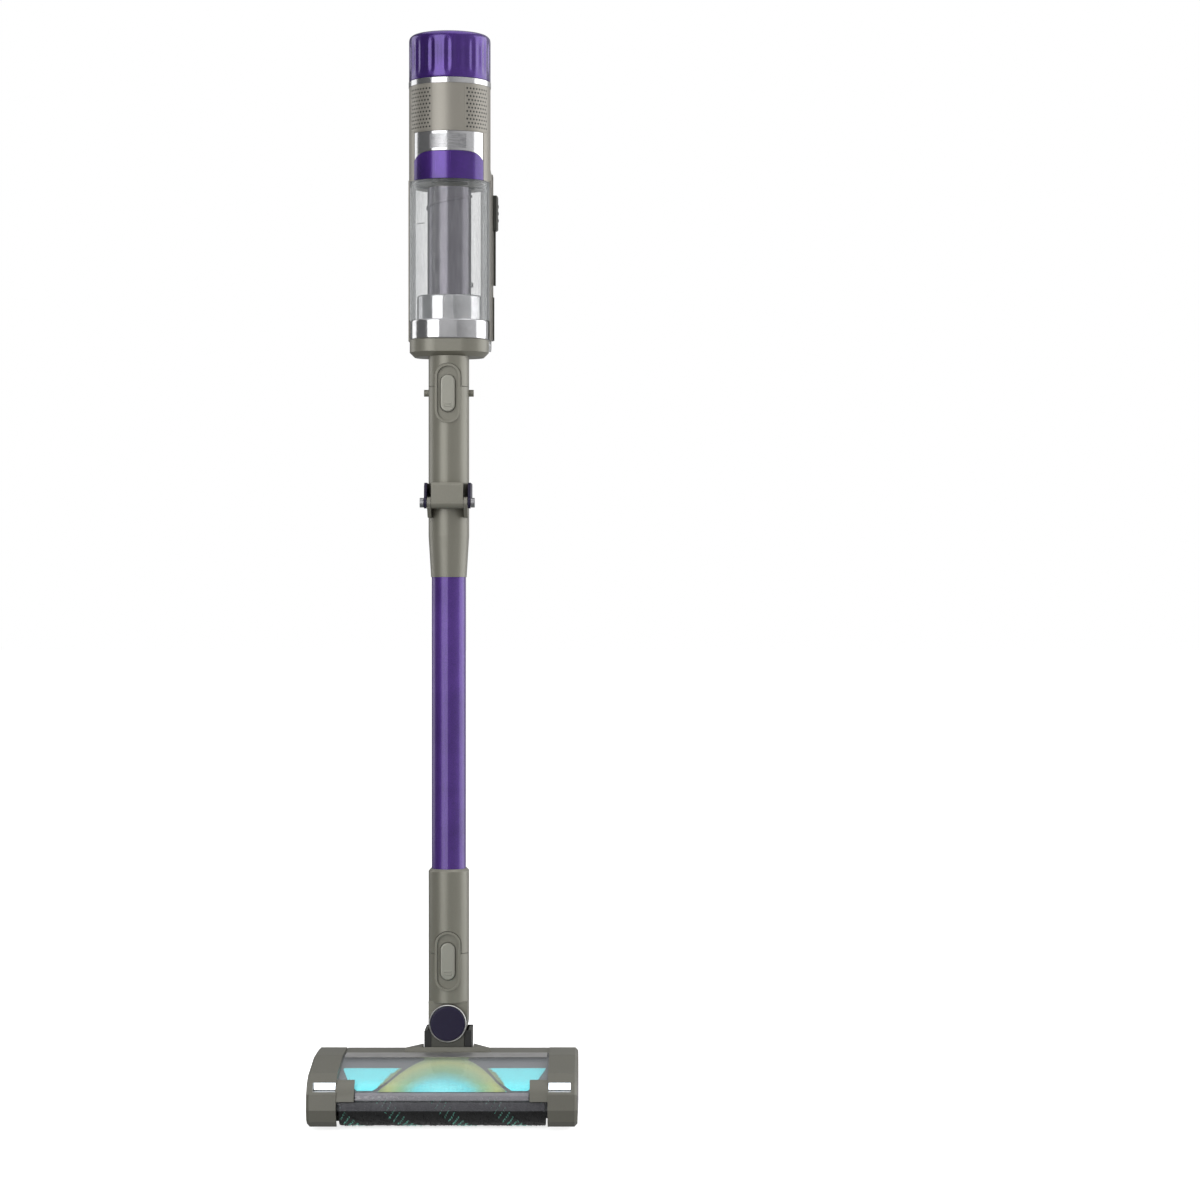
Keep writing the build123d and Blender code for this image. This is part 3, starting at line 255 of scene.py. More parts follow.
def felt(name, colour):
    f = Finish(name, 0.95, 0.0, Sheen_Weight=0.5)
    fibre = f.noise(0.5, 6, 0.8, f.stretched((0.3, 1.0, 1.0)))
    f.colour(f.mix(fibre, shade(colour, 0.6), shade(colour, 1.5)))
    return f.bump(fibre, 0.8, 0.3).mat


def lit(name, stops, centre, reach, strength):
    """Lit diffuser: colour runs outwards from a centre, given in mm, over that reach."""
    f = Finish(name, 0.35, 0.0)
    away = f.node("ShaderNodeVectorMath", {0: f.coords, 1: Vector(centre) * MM}, operation="SUBTRACT")
    per_reach = tuple(1 / (r * MM) for r in reach)
    scaled = f.node("ShaderNodeVectorMath", {0: away.outputs["Vector"], 1: per_reach}, operation="MULTIPLY")
    far = f.node("ShaderNodeVectorMath", {0: scaled.outputs["Vector"]}, operation="LENGTH").outputs["Value"]
    grain = f.math("MULTIPLY", f.math("SUBTRACT", f.noise(5, 3), 0.5), 0.08)
    run = f.ramp(f.math("ADD", far, grain), stops)
    f.colour(run)
    f.glow(run, strength)
    return f.bump(f.noise(1.2, 2), 0.2, 0.05).mat


def lamp(name, bright, dim, cell_mm, strength):
    """Small lit lens over a grid of emitters."""
    f = Finish(name, 0.25, 0.0)
    cells = f.node("ShaderNodeTexVoronoi", {"Vector": f.coords, "Scale": 1000 / cell_mm}).outputs["Distance"]
    run = f.ramp(cells, [(0.1, bright), (0.7, dim)])
    f.colour(run)
    f.glow(run, strength)
    return f.bump(cells, 0.2, 0.1).mat


def bristle(name, root, tip):
    f = Finish(name, 0.5, 0.0, Sheen_Weight=0.3)
    strand = f.noise(0.6, 3, 0.6)
    f.colour(f.mix(f.grey_ramp(strand, [(0.35, 0.0), (0.65, 1.0)]), root, tip))
    return f.bump(strand, 0.6, 0.2).mat


TAUPE = srgb(132, 130, 119)
PURPLE = srgb(84, 44, 146)
DEEP_PURPLE = srgb(54, 26, 104)
INK = srgb(32, 26, 54)


# ---- Mesh building ------------------------------------------------------------------
def at(x, depth, z):
    """Point in the row frame from millimetres: across, behind the wand's axis, up."""
    return Vector((x, WAND_Y + depth, z)) * MM


def piece(name, bm, material, body, replaces=(), bevel=0.0, angle=35):
    """Turn a bmesh into a finished piece; it rides on a body unless that is None."""
    bmesh.ops.remove_doubles(bm, verts=bm.verts, dist=1e-7)
    bmesh.ops.recalc_face_normals(bm, faces=bm.faces)
    mesh = bpy.data.meshes.new(name)
    bm.to_mesh(mesh)
    bm.free()
    mesh.materials.append(material)
    mesh.polygons.foreach_set("use_smooth", [True] * len(mesh.polygons))
    mesh.set_sharp_from_angle(angle=math.radians(angle))
    made = bpy.data.objects.new(name, mesh)
    bpy.context.scene.collection.objects.link(made)
    if bevel:
        rounded = made.modifiers.new("rounded", "BEVEL")
        rounded.width = bevel * MM
        rounded.segments = 3
        rounded.limit_method = "ANGLE"
        rounded.angle_limit = math.radians(angle)
        rounded.harden_normals = True
    if replaces:
        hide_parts(*replaces)
    if body:
        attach(made, body)
    return made


def around(count):
    """Evenly spaced angles round a circle."""
    return [2 * math.pi * i / count for i in range(count)]


def ring_loft(bm, rings, closed=False):
    """Skin a list of equal-length rings of points; closed joins the last ring to the first."""
    loops = [[bm.verts.new(p) for p in ring] for ring in rings]
    pairs = list(zip(loops, loops[1:]))
    if closed:
        pairs.append((loops[-1], loops[0]))
    for low, high in pairs:
        for i in range(len(low)):
            j = (i + 1) % len(low)
            bm.faces.new((low[i], low[j], high[j], high[i]))
    if not closed:
        bm.faces.new(loops[0][::-1])
        bm.faces.new(loops[-1])
    return bm


def turned_z(profile, middle, count=96, wave=None):
    """Solid turned about an upright axis from (radius, z); wave(angle, z) adds to the radius."""
    rings = []
    for radius, z in profile:
        ring = []
        for a in around(count):
            r = radius + (wave(a, z) if wave else 0.0)
            ring.append(at(r * math.sin(a), middle - r * math.cos(a), z))
        rings.append(ring)
    return ring_loft(bmesh.new(), rings, closed=True)


def turned_x(profile, depth, z, count=72, wave=None):
    """Solid turned about an axis along X from (x, radius)."""
    rings = []
    for x, radius in profile:
        ring = []
        for a in around(count):
            r = radius + (wave(a, x) if wave else 0.0)
            ring.append(at(x, depth + r * math.cos(a), z + r * math.sin(a)))
        rings.append(ring)
    return ring_loft(bmesh.new(), rings, closed=True)


def slab_x(bm, outline, x_low, x_high):
    """Prism along X from an outline of (depth, z)."""
    return ring_loft(bm, [[at(x, d, z) for d, z in outline] for x in (x_low, x_high)])


def slabs_both_sides(bm, outline, inner, outer):
    """The same prism on the left and on the right."""
    for side in (-1, 1):
        slab_x(bm, outline, *sorted((side * inner, side * outer)))
    return bm


def arc_strip(bm, radius, thick, angles, x_low, x_high, steps=14):
    """Curved strip round the brush's axis; 0 degrees is straight ahead, 90 straight up."""
    low, high = angles
    outer, inner = [], []
    for i in range(steps + 1):
        a = math.radians(low + (high - low) * i / steps)
        for r, line in ((radius + thick, outer), (radius, inner)):
            line.append((BRUSH_DEPTH - r * math.cos(a), BRUSH_Z + r * math.sin(a)))
    return slab_x(bm, outer + inner[::-1], x_low, x_high)


def wrap_panel(bm, radius, thick, middle, angles, z_of, steps=28, rows=6):
    """Panel round an upright axis; z_of(share across) gives its low and high edge."""
    rings = []
    for i in range(steps + 1):
        share = i / steps
        a = math.radians(angles[0] + (angles[1] - angles[0]) * share)
        low, high = z_of(share)
        zs = [low + (high - low) * k / rows for k in range(rows + 1)]
        outer = [at((radius + thick) * math.sin(a), middle - (radius + thick) * math.cos(a), z) for z in zs]
        inner = [at(radius * math.sin(a), middle - radius * math.cos(a), z) for z in zs]
        rings.append(outer + inner[::-1])
    return ring_loft(bm, rings)


def strand(bm, base, tip, width, sides=3):
    """Tapered bristle from base to tip."""
    along = (tip - base).normalized()
    side = along.orthogonal().normalized()
    other = along.cross(side)
    low = [bm.verts.new(base + (side * math.cos(a) + other * math.sin(a)) * width) for a in around(sides)]
    top = bm.verts.new(tip)
    for i in range(sides):
        bm.faces.new((low[i], low[(i + 1) % sides], top))
    return bm


# ---- Finishes on the CAD pieces -----------------------------------------------------
CAD_FINISHES = {
    "taupe": ["ankle_shell", "wand_lower_collar", "wand_upper_collar", "upper_wand_shell", "inlet_shell"],
    "taupe_light": ["motor_housing", "handle_root", "handle_block", "battery", "battery_arm"],
    "nozzle": ["side_housing_left", "side_housing_right", "nozzle_top_cover"],
    "dark_taupe": ["neck_yoke", "empty_slider", "lid_catch"],
    "button": ["lower_release_button", "upper_release_button", "fold_latch"],
    "hood": ["nozzle_chassis"],
    "black": ["brush_core", "suction_motor", "grip_arm", "yoke_guards"],
    "charcoal": ["wheel_hub_left", "wheel_hub_right"],
    "ink": ["pivot_caps", "hinge_cuff"],
    "purple": ["brush_end_cap", "trigger", "mode_button"],
    "purple_tube": ["wand_tube"],
    "duct": ["inlet_duct"],
    "chrome": ["cup_floor_ring", "trim_ring"],
    "steel": ["brush_motor", "nozzle_screws", "wheel_axles", "motor_pulley", "fold_pin", "handheld_pins",
              "suction_fan"],
    "grip": ["grip_sleeve"],
    "mesh": ["mesh_shroud"],
    "belt": ["drive_belt"],
    "felt": ["glide_pads"],
    "window": ["nozzle_window"],
    "cup": ["dust_cup"],
    "lid": ["cup_lid"],
    "lamp": ["corner_lamps"],
}


def finishes():
    """Finishes of the CAD pieces, most of them shared with the detailed pieces."""
    return {
        "taupe": moulded("taupe_satin", TAUPE, rough=0.36, bump=0.22, metal=0.25, Coat_Weight=0.15,
                         Coat_Roughness=0.3),
        "taupe_light": moulded("taupe_light", srgb(152, 148, 139), rough=0.34, bump=0.2, metal=0.3),
        "dark_taupe": moulded("taupe_dark", srgb(74, 74, 68), rough=0.42, metal=0.2),
        "nozzle": moulded("taupe_nozzle", srgb(112, 111, 102), rough=0.4, metal=0.15),
        "hood": moulded("hood_grey", srgb(96, 94, 98), rough=0.35, metal=0.2, bump=0.1),
        "button": moulded("button_satin", srgb(158, 157, 147), rough=0.3, metal=0.3, bump=0.1),
        "black": moulded("black_moulded", srgb(26, 26, 27), rough=0.5, bump=0.5, grain_mm=0.9, worn=2.0),
        "charcoal": moulded("charcoal_moulded", srgb(58, 57, 60), rough=0.4, bump=0.4, grain_mm=0.8),
        "ink": moulded("ink_gloss", INK, rough=0.3, bump=0.05, worn=1.8, Specular_IOR_Level=0.3),
        "purple": lacquered("purple_gloss", PURPLE, DEEP_PURPLE, rough=0.22),
        "purple_tube": lacquered("purple_tube", srgb(88, 52, 146), srgb(68, 36, 120), rough=0.4),
        "duct": moulded("duct_gloss", srgb(118, 115, 124), rough=0.2, metal=0.5, bump=0.05),
        "silver": plated("silver_satin", srgb(216, 215, 214), rough=0.28),
        "chrome": plated("chrome"),
        "steel": steel("steel_brushed"),
        "grip": rubber("grip_soft", srgb(40, 40, 42), 0.7, 0.4),
        "mesh": steel("shroud_steel", 0.4),
        "belt": rubber("belt_rubber", srgb(22, 22, 22)),
        "felt": felt("glide_felt", srgb(52, 52, 56)),
        "window": clear("window_clear", srgb(214, 220, 224), 0.03, 0.35),
        "cup": clear("cup_clear", srgb(226, 230, 232), 0.04, 0.55),
        "lid": clear("lid_clear", srgb(196, 200, 204), 0.3, 0.75),
        "lamp": lamp("lamp_white", srgb(255, 255, 255), srgb(214, 226, 240), 3.0, 2.2),
    }


def paint(node, material):
    """Give a CAD node its material."""
    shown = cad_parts[node].data.materials
    shown.clear()
    shown.append(material)


def paint_cad(mats):
    """Finish every CAD node that stays in view."""
    for finish, nodes in CAD_FINISHES.items():
        for node in nodes:
            paint(node, mats[finish])


# ---- Hand-held pieces ---------------------------------------------------------------
def filter_cap(mats):
    """Fluted cap with a rounded crown and a shallow dish on top."""
    low, high = CAP_LOW.z / MM, CAP_HIGH.z / MM
    flutes, r = 30, HOUSING_R

    def flute(a, z):
        fade = max(0.0, min(1.0, (z - low - 5) / 5, (high - 7 - z) / 5))
        return -0.35 * fade * (1 + math.cos(flutes * a))

    profile = [(r - 5, low), (r - 0.6, low), (r, low + 0.6), (r, low + 5)]
    profile += [(r, low + 5 + (high - 12 - low) * i / 8) for i in range(1, 9)]
    for i in range(1, 8):
        a = math.radians(90 * i / 7)
        profile.append((r - 6 + 6 * math.cos(a), high - 6 + 6 * math.sin(a)))
    profile += [(r - 9, high), (r - 10, high - 0.8), (12, high - 1.2), (0.5, high - 1.2), (0.5, high - 4),
                (r - 5, high - 4)]
    cap = turned_z(profile, HOUSING_MID, count=flutes * 8, wave=flute)
    piece("fluted_cap", cap, mats["purple"], "cap", ["filter_cap"], angle=50)


def finger_pads(mats):
    """Three curved finger pads in the cap's dish."""
    high = CAP_HIGH.z / MM
    inner_r, outer_r = 18, 24
    arc = (-0.5, -0.25, 0, 0.25, 0.5)
    pads = bmesh.new()
    for turn in range(3):
        a = math.radians(90 + 120 * turn)
        inner = [(inner_r * math.sin(a + t), inner_r * math.cos(a + t)) for t in arc]
        outer = [(outer_r * math.sin(a + t), outer_r * math.cos(a + t)) for t in reversed(arc)]
        ring_loft(pads, [[at(x, HOUSING_MID + y, z) for x, y in inner + outer]
                         for z in (high - 1.4, high - 0.5)])
    piece("cap_finger_pads", pads, mats["ink"], "cap", bevel=0.3)


def exhaust_filter():
    """Pleated ring under the cap."""
    low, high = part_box("exhaust_filter")
    pleats = 60

    def pleat(a, _):
        return -1.2 * (1 + math.cos(pleats * a))

    paper = Finish("filter_paper", 0.9)
    fibre = paper.noise(0.9, 5, 0.7)
    paper.colour(paper.ramp(fibre, [(0.3, srgb(206, 204, 196)), (0.7, srgb(238, 237, 232))]))
    paper.bump(fibre, 0.5, 0.1)
    z0, z1 = low.z / MM, high.z / MM
    ring = turned_z([(22, z0), (38, z0), (38, z1), (22, z1)], HOUSING_MID, count=pleats * 6, wave=pleat)
    piece("pleated_filter", ring, paper.mat, "cap", ["exhaust_filter"])


def housing_bands(mats):
    """Ribbed plated band over an arched purple band, set into the housing's front."""
    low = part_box("lower_band")[0].z / MM
    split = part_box("upper_band")[0].z / MM
    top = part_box("upper_band")[1].z / MM
    span = (-57.5, 57.5)
    rib_reach, rib_count = 26, 33

    def seam(s):
        return split - 9 * abs(2 * s - 1) ** 5

    arch, plate, ribs = bmesh.new(), bmesh.new(), bmesh.new()
    wrap_panel(arch, HOUSING_R - 3, 3.3, HOUSING_MID, span, lambda s: (low, seam(s)), steps=60)
    piece("arched_band", arch, mats["purple"], "handheld", ["lower_band"], bevel=0.5)
    wrap_panel(plate, HOUSING_R - 3, 2.6, HOUSING_MID, span, lambda s: (seam(s) + 0.3, top), steps=60)
    piece("plated_band", plate, mats["chrome"], "handheld", ["upper_band"], bevel=0.4)
    for i in range(rib_count):
        a = -rib_reach + 2 * rib_reach * i / (rib_count - 1)
        wrap_panel(ribs, HOUSING_R - 0.6, 0.7, HOUSING_MID, (a - 0.45, a + 0.45),
                   lambda s: (split + 3, top - 3), steps=1, rows=1)
    piece("band_ribs", ribs, mats["steel"], "handheld")


def vents(mats):
    """Perforated exhaust panels on both front sides of the motor housing; the holes are black discs on the
    panels, painted shade for the dark inside of the holes.
    """
    low, high = 1024.0, 1071.0
    first, last, margin = 24, 66, 2
    column_step, row_step, hole_r = 5.2, 4.0, 1.05
    radius = HOUSING_R + 0.55
    panel, hole_shade = bmesh.new(), bmesh.new()
    for side in (-1, 1):
        near, far = sorted((side * first, side * last))
        wrap_panel(panel, HOUSING_R - 0.3, 0.7, HOUSING_MID, (near, far), lambda s: (low, high), steps=24)
        for row in range(11):
            for column in range(8):
                degrees = near + 3.4 + column_step * (column + 0.5 * (row % 2))
                if degrees > far - margin:
                    continue
                a = math.radians(degrees)
                middle = at(radius * math.sin(a), HOUSING_MID - radius * math.cos(a),
                            low + 3.5 + row_step * row)
                across = Vector((math.cos(a), math.sin(a), 0))
                ring = [middle + (across * math.cos(t) + Vector((0, 0, 1)) * math.sin(t)) * hole_r * MM
                        for t in around(10)]
                hole_shade.faces.new([hole_shade.verts.new(p) for p in ring])
    piece("vent_panels", panel, mats["taupe_light"], "handheld", bevel=0.3)
    # The black discs are painted shade: they stand where the holes' dark insides would be.
    piece("vent_hole_shade", hole_shade, mats["black"], "handheld")


def arm_panels(mats):
    """Plated panels on both sides of the battery arm, along its slope."""
    low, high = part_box("battery_arm")
    slope = math.radians(20)
    mid_d, mid_z = (low.y + high.y) / 2 / MM - WAND_Y, (low.z + high.z) / 2 / MM

    def along(run, rise):
        return (mid_d + run * math.cos(slope) - rise * math.sin(slope),
                mid_z + run * math.sin(slope) + rise * math.cos(slope))

    outline = [along(-34, -8), along(-31, -10), along(36, -10), along(39, -7), along(39, 7), along(36, 10),
               along(-31, 10), along(-34, 8)]
    panels = slabs_both_sides(bmesh.new(), outline, 14.6, 15.7)
    piece("arm_panels", panels, mats["silver"], "handheld", bevel=0.35)


def charge_lamps():
    """Three small charge lamps on the back of the battery."""
    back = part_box("battery")[1].y / MM - WAND_Y
    height, radius, spacing = 1084, 1.6, 7
    lamps = bmesh.new()
    for x in (-spacing, 0, spacing):
        ring = [(x + radius * math.cos(t), height + radius * math.sin(t)) for t in around(16)]
        ring_loft(lamps, [[at(px, back + d, pz) for px, pz in ring] for d in (-0.6, 0.35)])
    glow = lamp("charge_glow", srgb(190, 236, 255), srgb(96, 170, 220), 1.2, 1.0)
    piece("charge_lamps", lamps, glow, "battery", bevel=0.2)


def cup_details(mats):
    """Seal round the cup's mouth, a fill line, frame rails and the duct's swirl vane."""
    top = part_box("dust_cup")[1].z / MM
    duct_r, duct_depth, vane_rise = 23.05, 9.0, 14
    vane_low, vane_high = top - 30, top - 27.5
    rail_front, rail_back, rail_low, rail_high = 14, 30, top - 166, top - 1
    gasket_in, gasket_out = HOUSING_R - 4.4, HOUSING_R - 2.9
    line, vane = bmesh.new(), bmesh.new()
    wrap_panel(line, HOUSING_R - 2.75, 0.3, HOUSING_MID, (-64, -38), lambda s: (top - 46, top - 45),
               steps=8, rows=1)
    piece("fill_line", line, mats["silver"], "handheld")
    wrap_panel(vane, duct_r, 1.1, duct_depth, (-96, 96),
               lambda s: (vane_low + vane_rise * s, vane_high + vane_rise * s), steps=40, rows=1)
    piece("swirl_vane", vane, mats["duct"], "handheld", bevel=0.3)
    outline = [(rail_front, rail_low), (rail_back, rail_low), (rail_back, rail_high), (rail_front, rail_high)]
    rails = slabs_both_sides(bmesh.new(), outline, 36.6, 40.4)
    # The rails are real frame pieces, but their dark taupe is painted shade: darker than the frame's own
    # taupe, so they draw dark lines down the cup's sides.
    piece("cup_rails", rails, mats["dark_taupe"], "handheld", bevel=0.6)
    gasket = turned_z([(gasket_in, top - 2.4), (gasket_out, top - 2.4), (gasket_out, top - 0.3),
                       (gasket_in, top - 0.3)], HOUSING_MID)
    piece("cup_gasket", gasket, rubber("seal_rubber", srgb(30, 30, 32)), "handheld")


# ---- Hoses --------------------------------------------------------------------------
def ribbed(low, high, radius, pitch=3.2, depth=1.1):
    """Ribbed hose's outside and inside profile."""
    steps = int((high - low) / pitch * 8)
    outer = [(radius - depth / 2 * (1 + math.cos(2 * math.pi * (low + (high - low) * i / steps) / pitch)),
              low + (high - low) * i / steps) for i in range(steps + 1)]
    return outer + [(radius - depth - 1, high), (radius - depth - 1, low)]


def hoses():
    """Straight ribbed hoses in the neck and in the wand's fold."""
    dark = rubber("hose_rubber", INK, 0.6, 0.3)
    for node, radius, below, above in (("neck_hose", 14, "yoke", "ankle"),
                                       ("fold_hose", 15, "wand", "upper_wand")):
        low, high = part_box(node)
        bottom, top = low.z / MM, high.z / MM
        hose = piece(f"ribbed_{node}", turned_z(ribbed(bottom, top, radius), 0), dark, None, [node])
        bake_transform(hose)


# ---- Nozzle -------------------------------------------------------------------------
def on_brush(x, a, r):
    """Point at an angle and radius round the brush's axis."""
    return at(x, BRUSH_DEPTH + r * math.cos(a), BRUSH_Z + r * math.sin(a))


def from_band(x, a):
    """Distance along the brush from the middle of the nearest band."""
    place = (x - FIRST_BAND - BAND_PITCH * a / (2 * math.pi)) / BAND_SPACING
    return abs(place - round(place)) * BAND_SPACING


def spread(amount):
    """Random offset of either sign."""
    return random.uniform(-amount, amount)


def pile_base(material):
    """Rough dark core under the bristles."""
    def rough_pile(a, x):
        return 0.5 * math.sin(31 * a + x) + 0.35 * math.sin(17 * a - 0.7 * x) if abs(x) < BRUSH_HALF else 0.0

    steps, bore = 60, 10
    body = [(-BRUSH_HALF + 2 * BRUSH_HALF * i / steps, PILE_CORE) for i in range(steps + 1)]
    body += [(BRUSH_HALF, bore), (-BRUSH_HALF, bore)]
    core = turned_x(body, BRUSH_DEPTH, BRUSH_Z, wave=rough_pile)
    piece("pile_base", core, material, "brush", ["brush_pile"])


def pile_strands(material):
    """Dark bristles everywhere but in the bands."""
    dark = bmesh.new()
    for _ in range(15000):
        x = random.uniform(-BRUSH_HALF + 0.5, BRUSH_HALF - 0.5)
        a = random.uniform(0, 2 * math.pi)
        if from_band(x, a) > BAND_HALF - 2:
            tip = on_brush(x + spread(1), a + spread(0.08), BRUSH_R - random.uniform(0.3, 2.2))
            strand(dark, on_brush(x, a, PILE_CORE - 0.5), tip, 0.3 * MM)
    piece("pile_strands", dark, material, "brush")


def teal_tufts(material):
    """Bright tufts in helical bands, each of a few bristles."""
    rows, tufts_round, bristles = (-7, -3.5, 0, 3.5, 7), 26, 7
    bright = bmesh.new()
    for band in range(-5, 6):
        for index, row in enumerate(rows):
            for i in range(tufts_round):
                a = 2 * math.pi * (i + 0.5 * (index % 2)) / tufts_round
                x = FIRST_BAND + BAND_SPACING * band + BAND_PITCH * a / (2 * math.pi) + row
                if abs(x) > BRUSH_HALF - 1.5:
                    continue
                for _ in range(bristles):
                    tip = on_brush(x + spread(1.4), a + spread(0.07), BRUSH_R - random.uniform(0.05, 1.2))
                    strand(bright, on_brush(x, a, PILE_CORE - 1), tip, 0.36 * MM)
    piece("teal_tufts", bright, material, "brush")


def brush_roll():
    """Dark pile with helical bands of teal tufts."""
    black = bristle("pile_black", srgb(8, 9, 9), srgb(24, 26, 27))
    # The pale tip colour is partly painted light: the real teal is lightened so the tufts still show in the
    # shade under the hood.
    teal = bristle("pile_teal", srgb(64, 176, 154), srgb(178, 244, 228))
    pile_base(black)
    pile_strands(black)
    teal_tufts(teal)


def window_trim(mats):
    """Smoked lip, silvery clear strip and plated header over the clear window."""
    radius = 28.55
    smoke = clear("smoked_lip", srgb(140, 138, 146), 0.18, 0.5)
    strip = clear("silver_lip", srgb(206, 204, 212), 0.26, 0.6)
    lip, bright, header = bmesh.new(), bmesh.new(), bmesh.new()
    arc_strip(lip, radius, 0.7, (-3, 13), -103, 103)
    piece("window_lip", lip, smoke, "nozzle", bevel=0.2)
    arc_strip(bright, radius, 0.6, (17, 33), -87, 87)
    piece("window_strip", bright, strip, "nozzle", bevel=0.2)
    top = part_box("nozzle_window")[1].z / MM
    outline = [(-66, top - 0.9), (-60, top + 0.15), (-40, top + 0.15), (-40, top + 0.8), (-61, top + 0.8),
               (-67, top - 0.2)]
    slab_x(header, outline, -104, 104)
    piece("window_header", header, mats["silver"], "nozzle", bevel=0.2)


def light_plates():
    """Lit plates behind the window: a dome in the middle and a fan at each end."""
    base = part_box("light_guides")[0].z / MM
    dome_half, dome_height, whole_depth = 71.0, 24.5, 100000.0
    cyan = srgb(92, 214, 222)
    stops = [(0.0, srgb(120, 214, 220)), (0.38, srgb(88, 190, 196)), (0.58, srgb(112, 158, 118)),
             (0.78, srgb(150, 160, 96)), (0.9, srgb(104, 124, 84)), (0.93, cyan), (1.0, cyan)]
    glow = lit("guide_glow", stops, (0.0, 0.0, base), (dome_half, whole_depth, dome_height), 0.55)
    paint("light_guides", glow)


def neck_rings(mats):
    """Bright rings round the neck's pivot caps."""
    low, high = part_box("pivot_caps")
    z, r = (low.z + high.z) / 2 / MM, (high.z - low.z) / 2 / MM
    profile = [(r + 0.05, 3.8), (r + 1.6, 3.8), (r + 1.6, 1.6), (r + 0.9, 1.0), (r + 0.05, 1.6)]
    rings = bmesh.new()
    for depth, out in ((low.y / MM - WAND_Y, -1), (high.y / MM - WAND_Y, 1)):
        loops = [[at(radius * math.sin(t), depth - out * inward, z + radius * math.cos(t))
                  for t in around(72)] for radius, inward in profile]
        ring_loft(rings, loops, closed=True)
    piece("pivot_rings", rings, mats["silver"], "yoke")


def tyres():
    """Treaded tyres on both wheels."""
    tyre = rubber("tyre_rubber", srgb(34, 34, 36), 0.6, 0.5)
    for hand in ("left", "right"):
        low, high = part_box(f"wheel_tyre_{hand}")
        x0, x1 = low.x / MM, high.x / MM
        r = (high.z - low.z) / 2 / MM
        depth, z = (low.y + high.y) / 2 / MM - WAND_Y, (low.z + high.z) / 2 / MM
        w = x1 - x0
        profile = [(x0, r - 5), (x0, r - 1.4), (x0 + 0.6, r - 0.4), (x0 + 1.4, r), (x0 + w * 0.3, r),
                   (x0 + w * 0.33, r - 0.8), (x0 + w * 0.38, r - 0.8), (x0 + w * 0.41, r), (x0 + w * 0.59, r),
                   (x0 + w * 0.62, r - 0.8), (x0 + w * 0.67, r - 0.8), (x0 + w * 0.7, r), (x1 - 1.4, r),
                   (x1 - 0.6, r - 0.4), (x1, r - 1.4), (x1, r - 5)]
        piece(f"tyre_{hand}", turned_x(profile, depth, z, 96), tyre, f"{hand}_wheel", [f"wheel_tyre_{hand}"])


# ---- Stage --------------------------------------------------------------------------
def studio_world():
    """Soft surroundings, dimmer on the left, behind a white backdrop."""
    world = bpy.data.worlds.new("studio")
    bpy.context.scene.world = world
    world.use_nodes = True
    tree = world.node_tree
    seen, surround = tree.nodes.new("ShaderNodeBackground"), tree.nodes["Background"]
    seen.inputs["Color"].default_value = (1.0, 1.0, 1.0, 1.0)
    across = tree.nodes.new("ShaderNodeSeparateXYZ")
    tree.links.new(tree.nodes.new("ShaderNodeTexCoord").outputs["Generated"], across.inputs[0])
    shading = tree.nodes.new("ShaderNodeMapRange")
    for key, value in (("From Min", -0.6), ("From Max", 0.9), ("To Min", 0.14), ("To Max", 0.6)):
        shading.inputs[key].default_value = value
    tree.links.new(across.outputs["X"], shading.inputs["Value"])
    tree.links.new(shading.outputs["Result"], surround.inputs["Color"])
    choose = tree.nodes.new("ShaderNodeMixShader")
    ray = tree.nodes.new("ShaderNodeLightPath")
    tree.links.new(ray.outputs["Is Camera Ray"], choose.inputs[0])
    tree.links.new(surround.outputs["Background"], choose.inputs[1])
    tree.links.new(seen.outputs["Background"], choose.inputs[2])
    tree.links.new(choose.outputs["Shader"], tree.nodes["World Output"].inputs["Surface"])


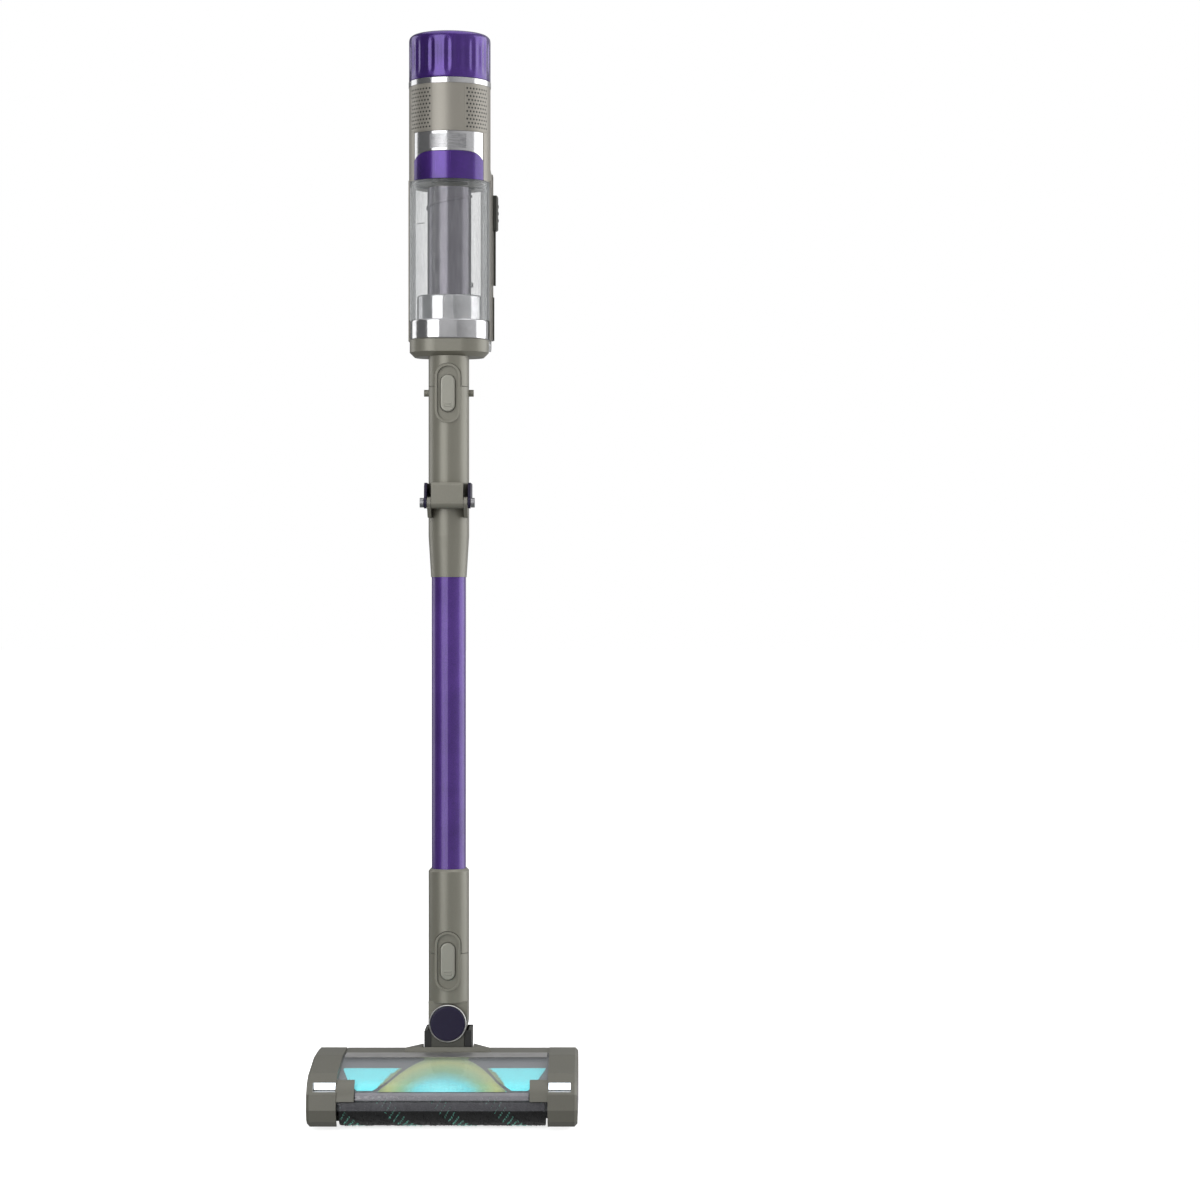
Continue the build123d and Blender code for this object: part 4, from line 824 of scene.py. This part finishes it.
def softbox(name, bearing, distance, height, size, power):
    """Rectangular light; bearing is in degrees from the front, positive to the right."""
    light = bpy.data.lights.new(name, "AREA")
    light.shape = "RECTANGLE"
    light.size, light.size_y = size
    light.energy = power
    a = math.radians(bearing)
    lamp_object = bpy.data.objects.new(name, light)
    lamp_object.location = (distance * math.sin(a), -distance * math.cos(a), height)
    aim = Vector((0, 0, 0.6)) - lamp_object.location
    lamp_object.rotation_euler = aim.to_track_quat("-Z", "Y").to_euler()
    lamp_object.visible_camera = False
    bpy.context.scene.collection.objects.link(lamp_object)


def pale_floor():
    """Wide floor that glows softly without lighting the machine."""
    half = 30
    mesh = bpy.data.meshes.new("floor")
    corners = [(-half, -half, 0), (half, -half, 0), (half, half, 0), (-half, half, 0)]
    mesh.from_pydata(corners, [], [(0, 1, 2, 3)])
    floor = bpy.data.objects.new("floor", mesh)
    bpy.context.scene.collection.objects.link(floor)
    pale = Finish("floor_pale", 0.5)
    pale.colour(pale.ramp(pale.noise(300, 3), [(0.3, (0.84, 0.84, 0.84)), (0.7, (0.87, 0.87, 0.87))]))
    pale.glow((1.0, 1.0, 1.0, 1.0), 0.8)
    mesh.materials.append(pale.mat)
    floor.visible_diffuse = floor.visible_glossy = False


def front_camera():
    """Long lens looking level at the front, with the machine left of the middle."""
    camera = bpy.data.objects.new("camera", bpy.data.cameras.new("camera"))
    camera.data.lens = 94.3
    camera.data.sensor_width = 36
    camera.location = (0.1586, WAND_Y * MM - 3.3, 0.533)
    camera.rotation_euler = (math.pi / 2, 0, 0)
    bpy.context.scene.collection.objects.link(camera)
    bpy.context.scene.camera = camera


def stage():
    """Floor, surroundings, soft lights and the camera."""
    pale_floor()
    studio_world()
    softbox("key", -27, 2.6, 1.0, (1.9, 2.6), 42)
    softbox("side", 104, 2.4, 1.0, (2.4, 2.6), 34)
    softbox("edge", -118, 2.6, 1.2, (1.4, 2.4), 14)
    softbox("top", 0, 0.2, 3.4, (3.6, 3.6), 45)
    bpy.context.scene.view_settings.view_transform = "Standard"
    front_camera()


def build():
    stage()
    mats = finishes()
    paint_cad(mats)
    filter_cap(mats)
    finger_pads(mats)
    exhaust_filter()
    housing_bands(mats)
    vents(mats)
    arm_panels(mats)
    charge_lamps()
    cup_details(mats)
    hoses()
    brush_roll()
    window_trim(mats)
    light_plates()
    neck_rings(mats)
    tyres()


build()
